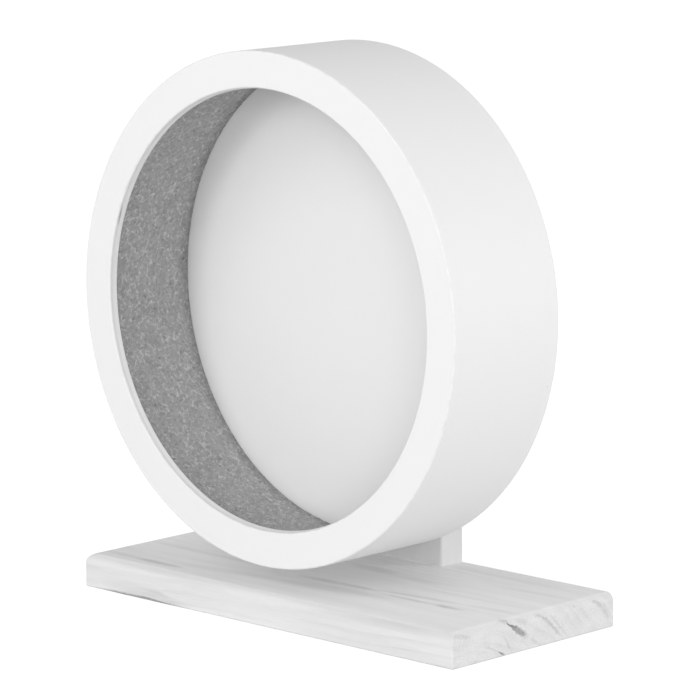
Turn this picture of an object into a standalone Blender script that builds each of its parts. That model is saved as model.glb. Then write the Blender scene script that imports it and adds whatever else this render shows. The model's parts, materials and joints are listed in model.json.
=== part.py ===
"""A hamster wheel: a white drum with a cork running mat, turning on a ball-bearing hub that is
bolted to an upright board, which is screwed to a pale pine base.

Metres, +Z up. The origin is the centre of the base board's underside. The wheel turns about an
axle that runs along Y. The open front of the drum faces -Y and the upright stands behind it.
"""
import math

import bmesh
import bpy
from mathutils import Matrix, Vector

# The gap between two pieces that touch.
FIT_GAP = 0.0003

# The wheel.
DRUM_RADIUS = 0.140
DRUM_DEPTH = 0.0813
RING_WIDTH = 0.020
RING_THICKNESS = 0.0047
RING_EASING = 0.0010
WALL_THICKNESS = 0.006
WALL_EASING = 0.0010
MAT_THICKNESS = 0.0022
MAT_SEAM = 0.0005
DISC_THICKNESS = 0.009
DISC_INSET = 0.001
DISC_SKIN = 0.002

# The stand.
BASE_LENGTH = 0.282
BASE_THICKNESS = 0.019
BASE_ROUND_OVER = 0.005
BASE_BACK_EASING = 0.001
BASE_CORNER_ROUND = 0.0006
BASE_TOP_CORNER_ROUND = 0.003
BASE_UNDER_EASING = 0.0005
RING_SETBACK = 0.003
WHEEL_CLEARANCE = 0.0135
UPRIGHT_WIDTH = 0.0615
UPRIGHT_THICKNESS = 0.018
UPRIGHT_EASING = 0.0015

# The two ball bearings, 8 mm bore, 22 mm outside and 7 mm wide.
BEARING_BORE_RADIUS = 0.004
BEARING_OUTER_RADIUS = 0.011
BEARING_WIDTH = 0.007
BALL_RADIUS = 0.00198
BALL_COUNT = 7
BALL_CLEARANCE = 0.00015
RACE_SHOULDER = 0.0007
RACE_EASING = 0.0003
SHIELD_THICKNESS = 0.00035
SHIELD_INSET = 0.0003
SHIELD_CLEARANCE = 0.0003
CAGE_THICKNESS = 0.0014
CAGE_WEB = 0.0002

# The hub that holds the bearings on the back of the disc.
BOSS_WALL = 0.00375
BOSS_EASING = 0.0008
FLANGE_WIDTH = 0.013
FLANGE_THICKNESS = 0.003
FLANGE_FILLET = 0.0015
SHOULDER_HEIGHT = 0.00225
HUB_SCREW_RADIUS = 0.00175
HUB_SCREW_HEAD_RADIUS = 0.0032
HUB_SCREW_HEAD_HEIGHT = 0.0021
HUB_SCREW_COUNT = 4

# The axle bolt and what it clamps.
BOLT_HEAD_RADIUS = 0.007
BOLT_HEAD_HEIGHT = 0.0044
BOLT_HEAD_CLEARANCE = 0.0018
BOLT_SOCKET_RADIUS = 0.0028
BOLT_SOCKET_DEPTH = 0.0026
BOLT_PROUD = 0.0046
BOLT_TIP_EASING = 0.0008
RACE_SPACER_LENGTH = 0.0026
UPRIGHT_SPACER_LENGTH = 0.0034
SPACER_WALL = 0.0017
WASHER_RADIUS = 0.012
WASHER_THICKNESS = 0.0016
NUT_RADIUS = 0.0075
NUT_HEX_HEIGHT = 0.0060
NUT_COLLAR_HEIGHT = 0.0022
NUT_COLLAR_RADIUS = 0.0060
NUT_LIP = 0.0004
INSERT_WALL = 0.0011

# The screws that hold the upright on the base.
BASE_SCREW_RADIUS = 0.002
BASE_SCREW_HEAD_RADIUS = 0.004
BASE_SCREW_HEAD_HEIGHT = 0.0023
BASE_SCREW_SINK = 0.0005
BASE_SCREW_GRIP = 0.022
BASE_SCREW_SPACING = 0.036
SCREW_POINT_LENGTH = 0.004
HUB_SCREW_POINT_LENGTH = 0.0025

# How far a cutter runs past what it cuts.
OVERRUN = 0.001

# How finely round shapes are divided.
DRUM_SEGMENTS = 96
HUB_SEGMENTS = 28
SCREW_SEGMENTS = 14
EASING_STEPS = 2
ROUND_OVER_STEPS = 4
UPRIGHT_ARC_STEPS = 24
POCKET_SEGMENTS = 12
BALL_SUBDIVISION_COUNT = 2
SMOOTH_ANGLE = math.radians(30)
CORNER_STEPS = 3
HEX_SIDES = 6

# Where the mat's seam lies round the drum, from +X towards the top.
MAT_SEAM_ANGLE = math.radians(-35)

# Radii that follow from the values above.
RING_BORE_RADIUS = DRUM_RADIUS - RING_WIDTH
WALL_INNER_RADIUS = DRUM_RADIUS - WALL_THICKNESS
MAT_OUTER_RADIUS = WALL_INNER_RADIUS - FIT_GAP
MAT_INNER_RADIUS = MAT_OUTER_RADIUS - MAT_THICKNESS
DISC_RADIUS = WALL_INNER_RADIUS - FIT_GAP
BOLT_RADIUS = BEARING_BORE_RADIUS - FIT_GAP
SPACER_RADIUS = BEARING_BORE_RADIUS + SPACER_WALL
HOUSING_BORE_RADIUS = BEARING_OUTER_RADIUS + FIT_GAP
BOSS_RADIUS = HOUSING_BORE_RADIUS + BOSS_WALL
FLANGE_RADIUS = BOSS_RADIUS + FLANGE_WIDTH
HUB_SCREW_PITCH_RADIUS = (BOSS_RADIUS + FLANGE_RADIUS) / 2
BALL_PITCH_RADIUS = (BEARING_BORE_RADIUS + BEARING_OUTER_RADIUS) / 2
INNER_GROOVE_RADIUS = BALL_PITCH_RADIUS - BALL_RADIUS - BALL_CLEARANCE
OUTER_GROOVE_RADIUS = BALL_PITCH_RADIUS + BALL_RADIUS + BALL_CLEARANCE
INNER_LAND_RADIUS = INNER_GROOVE_RADIUS + RACE_SHOULDER
OUTER_LAND_RADIUS = OUTER_GROOVE_RADIUS - RACE_SHOULDER
SHIELD_SEAT_RADIUS = OUTER_GROOVE_RADIUS

# Places along the axle, measured along Y. They are worked out from the back of the drum towards
# the upright, and the base is as deep as the chain needs.
HUB_CHAIN = (
    BOLT_HEAD_CLEARANCE
    + BOLT_HEAD_HEIGHT
    + FIT_GAP
    + BEARING_WIDTH
    + FIT_GAP
    + RACE_SPACER_LENGTH
    + FIT_GAP
    + BEARING_WIDTH
    + FIT_GAP
    + UPRIGHT_SPACER_LENGTH
    + FIT_GAP
)
BASE_DEPTH = RING_SETBACK + DRUM_DEPTH - DISC_INSET + HUB_CHAIN + UPRIGHT_THICKNESS
RING_FRONT = RING_SETBACK - BASE_DEPTH / 2
RING_BACK = RING_FRONT + RING_THICKNESS
WALL_FRONT = RING_BACK + FIT_GAP
DRUM_BACK = RING_FRONT + DRUM_DEPTH
DISC_BACK = DRUM_BACK - DISC_INSET
DISC_FRONT = DISC_BACK - DISC_THICKNESS
MAT_FRONT = RING_BACK + FIT_GAP
MAT_BACK = DISC_FRONT - FIT_GAP
FLANGE_FRONT = DISC_BACK + FIT_GAP
FLANGE_BACK = FLANGE_FRONT + FLANGE_THICKNESS
BOLT_HEAD_FRONT = DISC_BACK + BOLT_HEAD_CLEARANCE
BOLT_HEAD_BACK = BOLT_HEAD_FRONT + BOLT_HEAD_HEIGHT
FRONT_BEARING_FRONT = BOLT_HEAD_BACK + FIT_GAP
FRONT_BEARING_BACK = FRONT_BEARING_FRONT + BEARING_WIDTH
RACE_SPACER_FRONT = FRONT_BEARING_BACK + FIT_GAP
RACE_SPACER_BACK = RACE_SPACER_FRONT + RACE_SPACER_LENGTH
REAR_BEARING_FRONT = RACE_SPACER_BACK + FIT_GAP
REAR_BEARING_BACK = REAR_BEARING_FRONT + BEARING_WIDTH
UPRIGHT_SPACER_FRONT = REAR_BEARING_BACK + FIT_GAP
UPRIGHT_SPACER_BACK = UPRIGHT_SPACER_FRONT + UPRIGHT_SPACER_LENGTH
UPRIGHT_FRONT = UPRIGHT_SPACER_BACK + FIT_GAP
UPRIGHT_BACK = UPRIGHT_FRONT + UPRIGHT_THICKNESS
UPRIGHT_MIDDLE = (UPRIGHT_FRONT + UPRIGHT_BACK) / 2
HOUSING_BACK = REAR_BEARING_BACK + FIT_GAP
WASHER_FRONT = UPRIGHT_BACK + FIT_GAP
WASHER_BACK = WASHER_FRONT + WASHER_THICKNESS
NUT_FRONT = WASHER_BACK + FIT_GAP
NUT_COLLAR_FRONT = NUT_FRONT + NUT_HEX_HEIGHT
NUT_BACK = NUT_COLLAR_FRONT + NUT_COLLAR_HEIGHT
BOLT_END = NUT_BACK + BOLT_PROUD

# Heights.
AXLE_HEIGHT = BASE_THICKNESS + WHEEL_CLEARANCE + DRUM_RADIUS
UPRIGHT_FOOT = BASE_THICKNESS + FIT_GAP
BASE_SCREW_HEAD_TOP = BASE_SCREW_SINK + BASE_SCREW_HEAD_HEIGHT
BASE_SCREW_TIP = BASE_THICKNESS + BASE_SCREW_GRIP

# Colour, roughness and metallic value of each finish.
WHITE_PAINT = ((0.86, 0.86, 0.86), 0.45, 0.0)
CORK = ((0.29, 0.29, 0.29), 0.95, 0.0)
PINE = ((0.68, 0.68, 0.67), 0.65, 0.0)
ZINC_CASTING = ((0.55, 0.56, 0.57), 0.45, 0.9)
BEARING_STEEL = ((0.62, 0.63, 0.64), 0.2, 1.0)
ZINC_PLATED_STEEL = ((0.60, 0.61, 0.62), 0.35, 1.0)
NYLON = ((0.75, 0.76, 0.78), 0.5, 0.0)


def clear_scene():
    """Removes whatever the scene holds."""
    for item in list(bpy.data.objects):
        bpy.data.objects.remove(item, do_unlink=True)


def finish_material(name, finish):
    """Makes a piece's own Principled material from a colour, a roughness and a metallic value."""
    colour, roughness, metallic = finish
    material = bpy.data.materials.new(name + "_finish")
    material.use_nodes = True
    shader = material.node_tree.nodes["Principled BSDF"]
    shader.inputs["Base Color"].default_value = (*colour, 1.0)
    shader.inputs["Roughness"].default_value = roughness
    shader.inputs["Metallic"].default_value = metallic
    material.diffuse_color = (*colour, 1.0)
    return material


def add_object(name, shape, parent=None, location=(0, 0, 0)):
    """Turns a bmesh into an object, under a parent where there is one."""
    mesh = bpy.data.meshes.new(name)
    shape.to_mesh(mesh)
    shape.free()
    item = bpy.data.objects.new(name, mesh)
    bpy.context.scene.collection.objects.link(item)
    item.parent = parent
    item.location = location
    return item


def add_piece(name, shape, finish, parent=None, location=(0, 0, 0)):
    """Adds a piece of the wheel, shaded smooth up to its sharp edges."""
    bmesh.ops.recalc_face_normals(shape, faces=shape.faces)
    piece = add_object(name, shape, parent, location)
    piece.data.materials.append(finish_material(name, finish))
    piece.data.shade_smooth()
    piece.data.set_sharp_from_angle(angle=SMOOTH_ANGLE)
    return piece


def add_axis(name, location):
    """Adds an empty whose Z axis runs along the axle, towards the back."""
    axis = bpy.data.objects.new(name, None)
    bpy.context.scene.collection.objects.link(axis)
    axis.location = location
    axis.rotation_euler = (-math.pi / 2, 0, 0)
    return axis


def combine(piece, shape, name, operation, parent, location):
    """Cuts a shape out of a piece or joins it on, and keeps the shape as a hidden guide."""
    bmesh.ops.recalc_face_normals(shape, faces=shape.faces)
    guide = add_object(name, shape, parent, location)
    guide.hide_render = True
    guide.display_type = "WIRE"
    boolean = piece.modifiers.new(name, "BOOLEAN")
    boolean.operation = operation
    boolean.solver = "EXACT"
    boolean.object = guide


def cut(piece, shape, name, parent=None, location=(0, 0, 0)):
    """Cuts a shape out of a piece."""
    combine(piece, shape, name, "DIFFERENCE", parent, location)


def join(piece, shape, name, parent=None, location=(0, 0, 0)):
    """Joins a shape on to a piece that it overlaps."""
    combine(piece, shape, name, "UNION", parent, location)


def corner_arc(before, corner, after, radius, steps):
    """Points of the arc that rounds one corner of an outline."""
    corner = Vector(corner)
    inward = (Vector(before) - corner).normalized()
    onward = (Vector(after) - corner).normalized()
    half_angle = inward.angle(onward) / 2
    reach = radius / math.tan(half_angle)
    bisector = (inward + onward).normalized()
    centre = corner + bisector * (radius / math.sin(half_angle))
    start = corner + inward * reach - centre
    end = corner + onward * reach - centre
    sweep = start.angle_signed(end)
    return [centre + Matrix.Rotation(-sweep * step / steps, 2) @ start for step in range(steps + 1)]


def rounded(corners, steps=EASING_STEPS):
    """An outline from corners given as (across, along, radius). A radius of 0 stays sharp."""
    points = []
    for index, (across, along, radius) in enumerate(corners):
        before = corners[index - 1][:2]
        after = corners[(index + 1) % len(corners)][:2]
        if radius > 0:
            points.extend(corner_arc(before, (across, along), after, radius, steps))
        else:
            points.append(Vector((across, along)))
    return points


def turned(profile, segments, angle=2 * math.pi, start_angle=0.0):
    """Turns a closed profile of (radius, height) points about Z. Less than a turn has two ends."""
    shape = bmesh.new()
    whole = angle == 2 * math.pi
    verts = [shape.verts.new((radius, 0, height)) for radius, height in profile]
    if whole:
        outline = [shape.edges.new((verts[i - 1], verts[i])) for i in range(len(verts))]
        geometry = verts + outline
    else:
        face = shape.faces.new(verts)
        geometry = verts + list(face.edges) + [face]
    turn = Matrix.Rotation(start_angle, 3, "Z")
    bmesh.ops.rotate(shape, cent=(0, 0, 0), matrix=turn, verts=verts)
    bmesh.ops.spin(
        shape,
        geom=geometry,
        cent=(0, 0, 0),
        axis=(0, 0, 1),
        dvec=(0, 0, 0),
        angle=angle,
        steps=segments,
        use_merge=whole,
        use_duplicate=False,
    )
    close_poles(shape)
    return shape


def close_poles(shape):
    """Merges the points that fall together on the axis, and drops what the merge leaves empty."""
    smallest = FIT_GAP / 1000
    bmesh.ops.remove_doubles(shape, verts=shape.verts, dist=smallest)
    bmesh.ops.dissolve_degenerate(shape, edges=shape.edges, dist=smallest)


def stacked(outlines, heights):
    """Joins outlines of equally many (x, y) points, one above the other, into a closed solid."""
    shape = bmesh.new()
    loops = []
    for outline, height in zip(outlines, heights):
        loops.append([shape.verts.new((x, y, height)) for x, y in outline])
    shape.faces.new(loops[0])
    shape.faces.new(loops[-1])
    for lower, upper in zip(loops, loops[1:]):
        for i in range(len(lower)):
            shape.faces.new((lower[i - 1], lower[i], upper[i], upper[i - 1]))
    return shape


def prism(radius, front, back):
    """A hexagonal prism about Z."""
    turns = [2 * math.pi * index / HEX_SIDES for index in range(HEX_SIDES)]
    outline = [(radius * math.cos(turn), radius * math.sin(turn)) for turn in turns]
    return stacked([outline, outline], [front, back])


def tube_profile(inner, outer, front, back):
    """The section of a plain ring."""
    return [(inner, front), (outer, front), (outer, back), (inner, back)]


def rod_profile(radius, front, back):
    """The half section of a plain rod."""
    return [(0, front), (radius, front), (radius, back), (0, back)]


def front_ring(axis):
    """The flat ring at the mouth of the drum, its edges eased and painted."""
    profile = rounded([
        (RING_BORE_RADIUS, RING_FRONT, RING_EASING),
        (DRUM_RADIUS, RING_FRONT, RING_EASING),
        (DRUM_RADIUS, RING_BACK, 0),
        (RING_BORE_RADIUS, RING_BACK, 0),
    ])
    add_piece("front_ring", turned(profile, DRUM_SEGMENTS), WHITE_PAINT, axis)


def drum_wall(axis):
    """The bent strip that forms the side of the drum."""
    profile = rounded([
        (WALL_INNER_RADIUS, WALL_FRONT, 0),
        (DRUM_RADIUS, WALL_FRONT, 0),
        (DRUM_RADIUS, DRUM_BACK, WALL_EASING),
        (WALL_INNER_RADIUS, DRUM_BACK, 0),
    ])
    add_piece("drum_wall", turned(profile, DRUM_SEGMENTS), WHITE_PAINT, axis)


def running_mat(axis):
    """The cork strip glued inside the wall, its two ends meeting at a seam."""
    profile = tube_profile(MAT_INNER_RADIUS, MAT_OUTER_RADIUS, MAT_FRONT, MAT_BACK)
    seam = MAT_SEAM / MAT_INNER_RADIUS
    shape = turned(profile, DRUM_SEGMENTS, 2 * math.pi - seam, -MAT_SEAM_ANGLE + seam / 2)
    add_piece("running_mat", shape, CORK, axis)


def hub_screw_places():
    """The places of the hub screws round the axle, on the diagonals."""
    for index in range(HUB_SCREW_COUNT):
        angle = 2 * math.pi * (index + 0.5) / HUB_SCREW_COUNT
        x = HUB_SCREW_PITCH_RADIUS * math.cos(angle)
        y = HUB_SCREW_PITCH_RADIUS * math.sin(angle)
        yield index + 1, (x, y, 0)


def back_disc(axis):
    """The disc that closes the drum, with blind pilot holes for the hub screws in its back."""
    profile = rod_profile(DISC_RADIUS, DISC_FRONT, DISC_BACK)
    disc = add_piece("back_disc", turned(profile, DRUM_SEGMENTS), WHITE_PAINT, axis)
    hole = rod_profile(HUB_SCREW_RADIUS + FIT_GAP, DISC_FRONT + DISC_SKIN, DISC_BACK + OVERRUN)
    for number, place in hub_screw_places():
        cut(disc, turned(hole, SCREW_SEGMENTS), "disc_pilot_" + str(number), axis, place)


def bearing_housing(axis):
    """The flanged hub: one bearing each side of a shoulder, room for the bolt head in front."""
    shoulder_radius = HOUSING_BORE_RADIUS - SHOULDER_HEIGHT
    shoulder_front = FRONT_BEARING_BACK + FIT_GAP
    shoulder_back = REAR_BEARING_FRONT - FIT_GAP
    profile = rounded([
        (HOUSING_BORE_RADIUS, FLANGE_FRONT, 0),
        (FLANGE_RADIUS, FLANGE_FRONT, 0),
        (FLANGE_RADIUS, FLANGE_BACK, BOSS_EASING),
        (BOSS_RADIUS, FLANGE_BACK, FLANGE_FILLET),
        (BOSS_RADIUS, HOUSING_BACK, BOSS_EASING),
        (HOUSING_BORE_RADIUS, HOUSING_BACK, 0),
        (HOUSING_BORE_RADIUS, shoulder_back, 0),
        (shoulder_radius, shoulder_back, 0),
        (shoulder_radius, shoulder_front, 0),
        (HOUSING_BORE_RADIUS, shoulder_front, 0),
    ])
    housing = add_piece("bearing_housing", turned(profile, HUB_SEGMENTS), ZINC_CASTING, axis)
    hole = rod_profile(HUB_SCREW_RADIUS + FIT_GAP, FLANGE_FRONT - OVERRUN, FLANGE_BACK + OVERRUN)
    for number, place in hub_screw_places():
        cut(housing, turned(hole, SCREW_SEGMENTS), "flange_hole_" + str(number), axis, place)


def hub_screws(axis):
    """The short pan-head screws that hold the hub on the disc, driven from behind."""
    seat = FLANGE_BACK + FIT_GAP
    tip = DISC_FRONT + DISC_SKIN + FIT_GAP
    top = seat + HUB_SCREW_HEAD_HEIGHT
    profile = rounded([
        (0, tip, 0),
        (HUB_SCREW_RADIUS, tip + HUB_SCREW_POINT_LENGTH, 0),
        (HUB_SCREW_RADIUS, seat, 0),
        (HUB_SCREW_HEAD_RADIUS, seat, 0),
        (HUB_SCREW_HEAD_RADIUS, top, HUB_SCREW_HEAD_HEIGHT / 2),
        (0, top, 0),
    ])
    for number, place in hub_screw_places():
        name = "housing_screw_" + str(number)
        add_piece(name, turned(profile, SCREW_SEGMENTS), ZINC_PLATED_STEEL, axis, place)


def groove_points(middle, pitch_radius, groove_radius, land_radius):
    """The arc of a race's ball groove, from its front shoulder to its back one."""
    ball = abs(groove_radius - pitch_radius)
    reach = abs(land_radius - pitch_radius)
    half_angle = math.acos(reach / ball)
    side = 1 if groove_radius > pitch_radius else -1
    steps = 2 * EASING_STEPS
    points = []
    for step in range(steps + 1):
        angle = half_angle * (2 * step / steps - 1)
        points.append((pitch_radius + side * ball * math.cos(angle), middle + ball * math.sin(angle)))
    return points


def inner_race(name, front, parent):
    """A bearing's inner ring, clamped on the axle bolt, with its ball groove outside."""
    back = front + BEARING_WIDTH
    groove = groove_points(
        (front + back) / 2, BALL_PITCH_RADIUS, INNER_GROOVE_RADIUS, INNER_LAND_RADIUS)
    corners = [(BEARING_BORE_RADIUS, front, RACE_EASING), (INNER_LAND_RADIUS, front, RACE_EASING)]
    corners.extend((radius, height, 0) for radius, height in groove)
    corners.append((INNER_LAND_RADIUS, back, RACE_EASING))
    corners.append((BEARING_BORE_RADIUS, back, RACE_EASING))
    add_piece(name, turned(rounded(corners, 1), HUB_SEGMENTS), BEARING_STEEL, parent)


def outer_race(name, front, parent):
    """A bearing's outer ring, with its ball groove inside and a seat for a shield at each end."""
    back = front + BEARING_WIDTH
    seat_depth = SHIELD_INSET + SHIELD_THICKNESS + FIT_GAP
    groove = groove_points(
        (front + back) / 2, BALL_PITCH_RADIUS, OUTER_GROOVE_RADIUS, OUTER_LAND_RADIUS)
    corners = [
        (BEARING_OUTER_RADIUS, back, RACE_EASING),
        (SHIELD_SEAT_RADIUS, back, 0),
        (SHIELD_SEAT_RADIUS, back - seat_depth, 0),
        (OUTER_LAND_RADIUS, back - seat_depth, 0),
    ]
    corners.extend((radius, height, 0) for radius, height in reversed(groove))
    corners.extend([
        (OUTER_LAND_RADIUS, front + seat_depth, 0),
        (SHIELD_SEAT_RADIUS, front + seat_depth, 0),
        (SHIELD_SEAT_RADIUS, front, 0),
        (BEARING_OUTER_RADIUS, front, RACE_EASING),
    ])
    add_piece(name, turned(rounded(corners, 1), HUB_SEGMENTS), BEARING_STEEL, parent)


def shields(name, front, parent):
    """The two thin rings pressed into the outer race, which run clear of the inner one."""
    inner = INNER_LAND_RADIUS + SHIELD_CLEARANCE
    outer = SHIELD_SEAT_RADIUS - FIT_GAP
    places = {
        "front": front + SHIELD_INSET,
        "back": front + BEARING_WIDTH - SHIELD_INSET - SHIELD_THICKNESS,
    }
    for side, place in places.items():
        profile = tube_profile(inner, outer, place, place + SHIELD_THICKNESS)
        add_piece(name + "_" + side, turned(profile, HUB_SEGMENTS), BEARING_STEEL, parent)


def ball_angles():
    """The angles of the balls round the axle."""
    return [2 * math.pi * index / BALL_COUNT for index in range(BALL_COUNT)]


def ball_cage(name, middle, parent):
    """The ring that keeps the balls apart, with a round pocket for each."""
    pocket_radius = (BALL_RADIUS + BALL_CLEARANCE) / math.cos(math.pi / POCKET_SEGMENTS)
    half_width = pocket_radius + CAGE_WEB
    profile = tube_profile(
        BALL_PITCH_RADIUS - CAGE_THICKNESS / 2,
        BALL_PITCH_RADIUS + CAGE_THICKNESS / 2,
        middle - half_width,
        middle + half_width,
    )
    cage = add_piece(name, turned(profile, HUB_SEGMENTS), BEARING_STEEL, parent)
    for number, angle in enumerate(ball_angles(), 1):
        inner = BALL_PITCH_RADIUS - CAGE_THICKNESS / 2 - OVERRUN
        outer = BALL_PITCH_RADIUS + CAGE_THICKNESS / 2 + OVERRUN
        pocket = turned(rod_profile(pocket_radius, inner, outer), POCKET_SEGMENTS)
        aim = Matrix.Rotation(angle, 3, "Z") @ Matrix.Rotation(math.pi / 2, 3, "Y")
        bmesh.ops.rotate(pocket, cent=(0, 0, 0), matrix=aim, verts=pocket.verts)
        cut(cage, pocket, name + "_pocket_" + str(number), parent, (0, 0, middle))


def balls(name, middle, parent):
    """The balls of one bearing."""
    for number, angle in enumerate(ball_angles(), 1):
        shape = bmesh.new()
        bmesh.ops.create_icosphere(shape, subdivisions=BALL_SUBDIVISION_COUNT, radius=BALL_RADIUS)
        place = (BALL_PITCH_RADIUS * math.cos(angle), BALL_PITCH_RADIUS * math.sin(angle), middle)
        add_piece(name + "_" + str(number), shape, BEARING_STEEL, parent, place)


def bearing(side, front, wheel_axis, cage_axis, stand_axis):
    """One shielded ball bearing: outer parts on the wheel, inner race on the stand."""
    middle = front + BEARING_WIDTH / 2
    outer_race(side + "_outer_race", front, wheel_axis)
    shields(side + "_shield", front, wheel_axis)
    inner_race(side + "_inner_race", front, stand_axis)
    ball_cage(side + "_ball_cage", middle, cage_axis)
    balls(side + "_ball", middle, cage_axis)


def axle_bolt(axis):
    """The bolt, from the head in the hub through both bearings and the upright to the nut."""
    profile = rounded([
        (0, BOLT_HEAD_FRONT, 0),
        (BOLT_HEAD_RADIUS, BOLT_HEAD_FRONT, BOLT_HEAD_HEIGHT / 2),
        (BOLT_HEAD_RADIUS, BOLT_HEAD_BACK, 0),
        (BOLT_RADIUS, BOLT_HEAD_BACK, 0),
        (BOLT_RADIUS, BOLT_END - BOLT_TIP_EASING, 0),
        (BOLT_RADIUS - BOLT_TIP_EASING, BOLT_END, 0),
        (0, BOLT_END, 0),
    ])
    bolt = add_piece("axle_bolt", turned(profile, HUB_SEGMENTS), ZINC_PLATED_STEEL, axis)
    socket = rod_profile(
        BOLT_SOCKET_RADIUS, BOLT_HEAD_FRONT - OVERRUN, BOLT_HEAD_FRONT + BOLT_SOCKET_DEPTH)
    cut(bolt, turned(socket, HEX_SIDES), "bolt_socket", axis)


def spacers(axis):
    """The short sleeves between the inner races, and between the rear one and the upright."""
    places = {
        "race_spacer": (RACE_SPACER_FRONT, RACE_SPACER_BACK),
        "upright_spacer": (UPRIGHT_SPACER_FRONT, UPRIGHT_SPACER_BACK),
    }
    for name, (front, back) in places.items():
        profile = tube_profile(BEARING_BORE_RADIUS, SPACER_RADIUS, front, back)
        add_piece(name, turned(profile, HUB_SEGMENTS), ZINC_PLATED_STEEL, axis)


def rear_washer(axis):
    """The wide washer between the upright and the nut."""
    profile = tube_profile(BEARING_BORE_RADIUS, WASHER_RADIUS, WASHER_FRONT, WASHER_BACK)
    add_piece("rear_washer", turned(profile, HUB_SEGMENTS), ZINC_PLATED_STEEL, axis)


def lock_nut(axis):
    """The hexagon nut with a round collar, which holds a nylon ring round the bolt."""
    bore = BOLT_RADIUS + FIT_GAP
    insert_outer = bore + INSERT_WALL
    seat_radius = insert_outer + FIT_GAP
    seat_front = NUT_COLLAR_FRONT - FIT_GAP
    lip_front = NUT_BACK - NUT_LIP
    nut = add_piece("lock_nut", prism(NUT_RADIUS, NUT_FRONT, NUT_COLLAR_FRONT), ZINC_PLATED_STEEL, axis)
    collar = rod_profile(NUT_COLLAR_RADIUS, NUT_COLLAR_FRONT - OVERRUN, NUT_BACK)
    join(nut, turned(collar, HUB_SEGMENTS), "nut_collar", axis)
    hollow = [
        (0, NUT_FRONT - OVERRUN),
        (bore, NUT_FRONT - OVERRUN),
        (bore, seat_front),
        (seat_radius, seat_front),
        (seat_radius, lip_front),
        (bore, lip_front),
        (bore, NUT_BACK + OVERRUN),
        (0, NUT_BACK + OVERRUN),
    ]
    cut(nut, turned(hollow, HUB_SEGMENTS), "nut_bore", axis)
    ring = tube_profile(bore, insert_outer, seat_front + FIT_GAP, lip_front - FIT_GAP)
    add_piece("nut_insert", turned(ring, HUB_SEGMENTS), NYLON, axis)


def base_outline(inset, back_inset, front_corner):
    """The base seen from above, drawn in by the insets, its front corners rounded."""
    x = BASE_LENGTH / 2 - inset
    front = inset - BASE_DEPTH / 2
    back = BASE_DEPTH / 2 - back_inset
    corners = [
        (-x, front, front_corner),
        (x, front, front_corner),
        (x, back, BASE_CORNER_ROUND),
        (-x, back, BASE_CORNER_ROUND),
    ]
    return rounded(corners, CORNER_STEPS)


def round_over_inset(radius, below_top):
    """How far a round-over draws in its edge, so far below the top."""
    rise = max(radius - below_top, 0)
    return radius - math.sqrt(radius * radius - rise * rise)


def base_screw_places():
    """The places of the two screws under the upright."""
    for number, side in ((1, -1), (2, 1)):
        yield number, (side * BASE_SCREW_SPACING / 2, UPRIGHT_MIDDLE, 0)


def base_screw_profile(clearance, bottom, tip):
    """The half section of a countersunk screw, or of its hole, which is larger all round."""
    head_radius = BASE_SCREW_HEAD_RADIUS + clearance
    radius = BASE_SCREW_RADIUS + clearance
    return [
        (0, bottom),
        (head_radius, bottom),
        (head_radius, BASE_SCREW_SINK + clearance),
        (radius, BASE_SCREW_HEAD_TOP + clearance),
        (radius, tip - SCREW_POINT_LENGTH),
        (0, tip),
    ]


def base_board():
    """The pine base: rounded over in front and at the ends, eased behind, where the upright stands.

    Its underside is countersunk for two screws.
    """
    heights = [0.0, BASE_UNDER_EASING]
    outlines = [base_outline(inset, inset, BASE_CORNER_ROUND) for inset in (BASE_UNDER_EASING, 0.0)]
    for step in range(ROUND_OVER_STEPS + 1):
        below_top = BASE_ROUND_OVER * (1 - math.sin(math.pi / 2 * step / ROUND_OVER_STEPS))
        inset = round_over_inset(BASE_ROUND_OVER, below_top)
        share = inset / BASE_ROUND_OVER
        corner = BASE_CORNER_ROUND + (BASE_TOP_CORNER_ROUND - BASE_CORNER_ROUND) * share
        outlines.append(base_outline(inset, round_over_inset(BASE_BACK_EASING, below_top), corner))
        heights.append(BASE_THICKNESS - below_top)
    shape = stacked(outlines, heights)
    board = add_piece("base_board", shape, PINE)
    hole = base_screw_profile(FIT_GAP, -OVERRUN, BASE_SCREW_TIP + FIT_GAP)
    for number, place in base_screw_places():
        cut(board, turned(hole, SCREW_SEGMENTS), "base_hole_" + str(number), None, place)


def upright_outline(inset):
    """The upright seen from the front, drawn in by the inset: straight sides, a round top."""
    half_width = UPRIGHT_WIDTH / 2 - inset
    points = [(-half_width, UPRIGHT_FOOT), (half_width, UPRIGHT_FOOT)]
    for step in range(UPRIGHT_ARC_STEPS + 1):
        angle = math.pi * step / UPRIGHT_ARC_STEPS
        points.append((half_width * math.cos(angle), AXLE_HEIGHT + half_width * math.sin(angle)))
    return points


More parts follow.
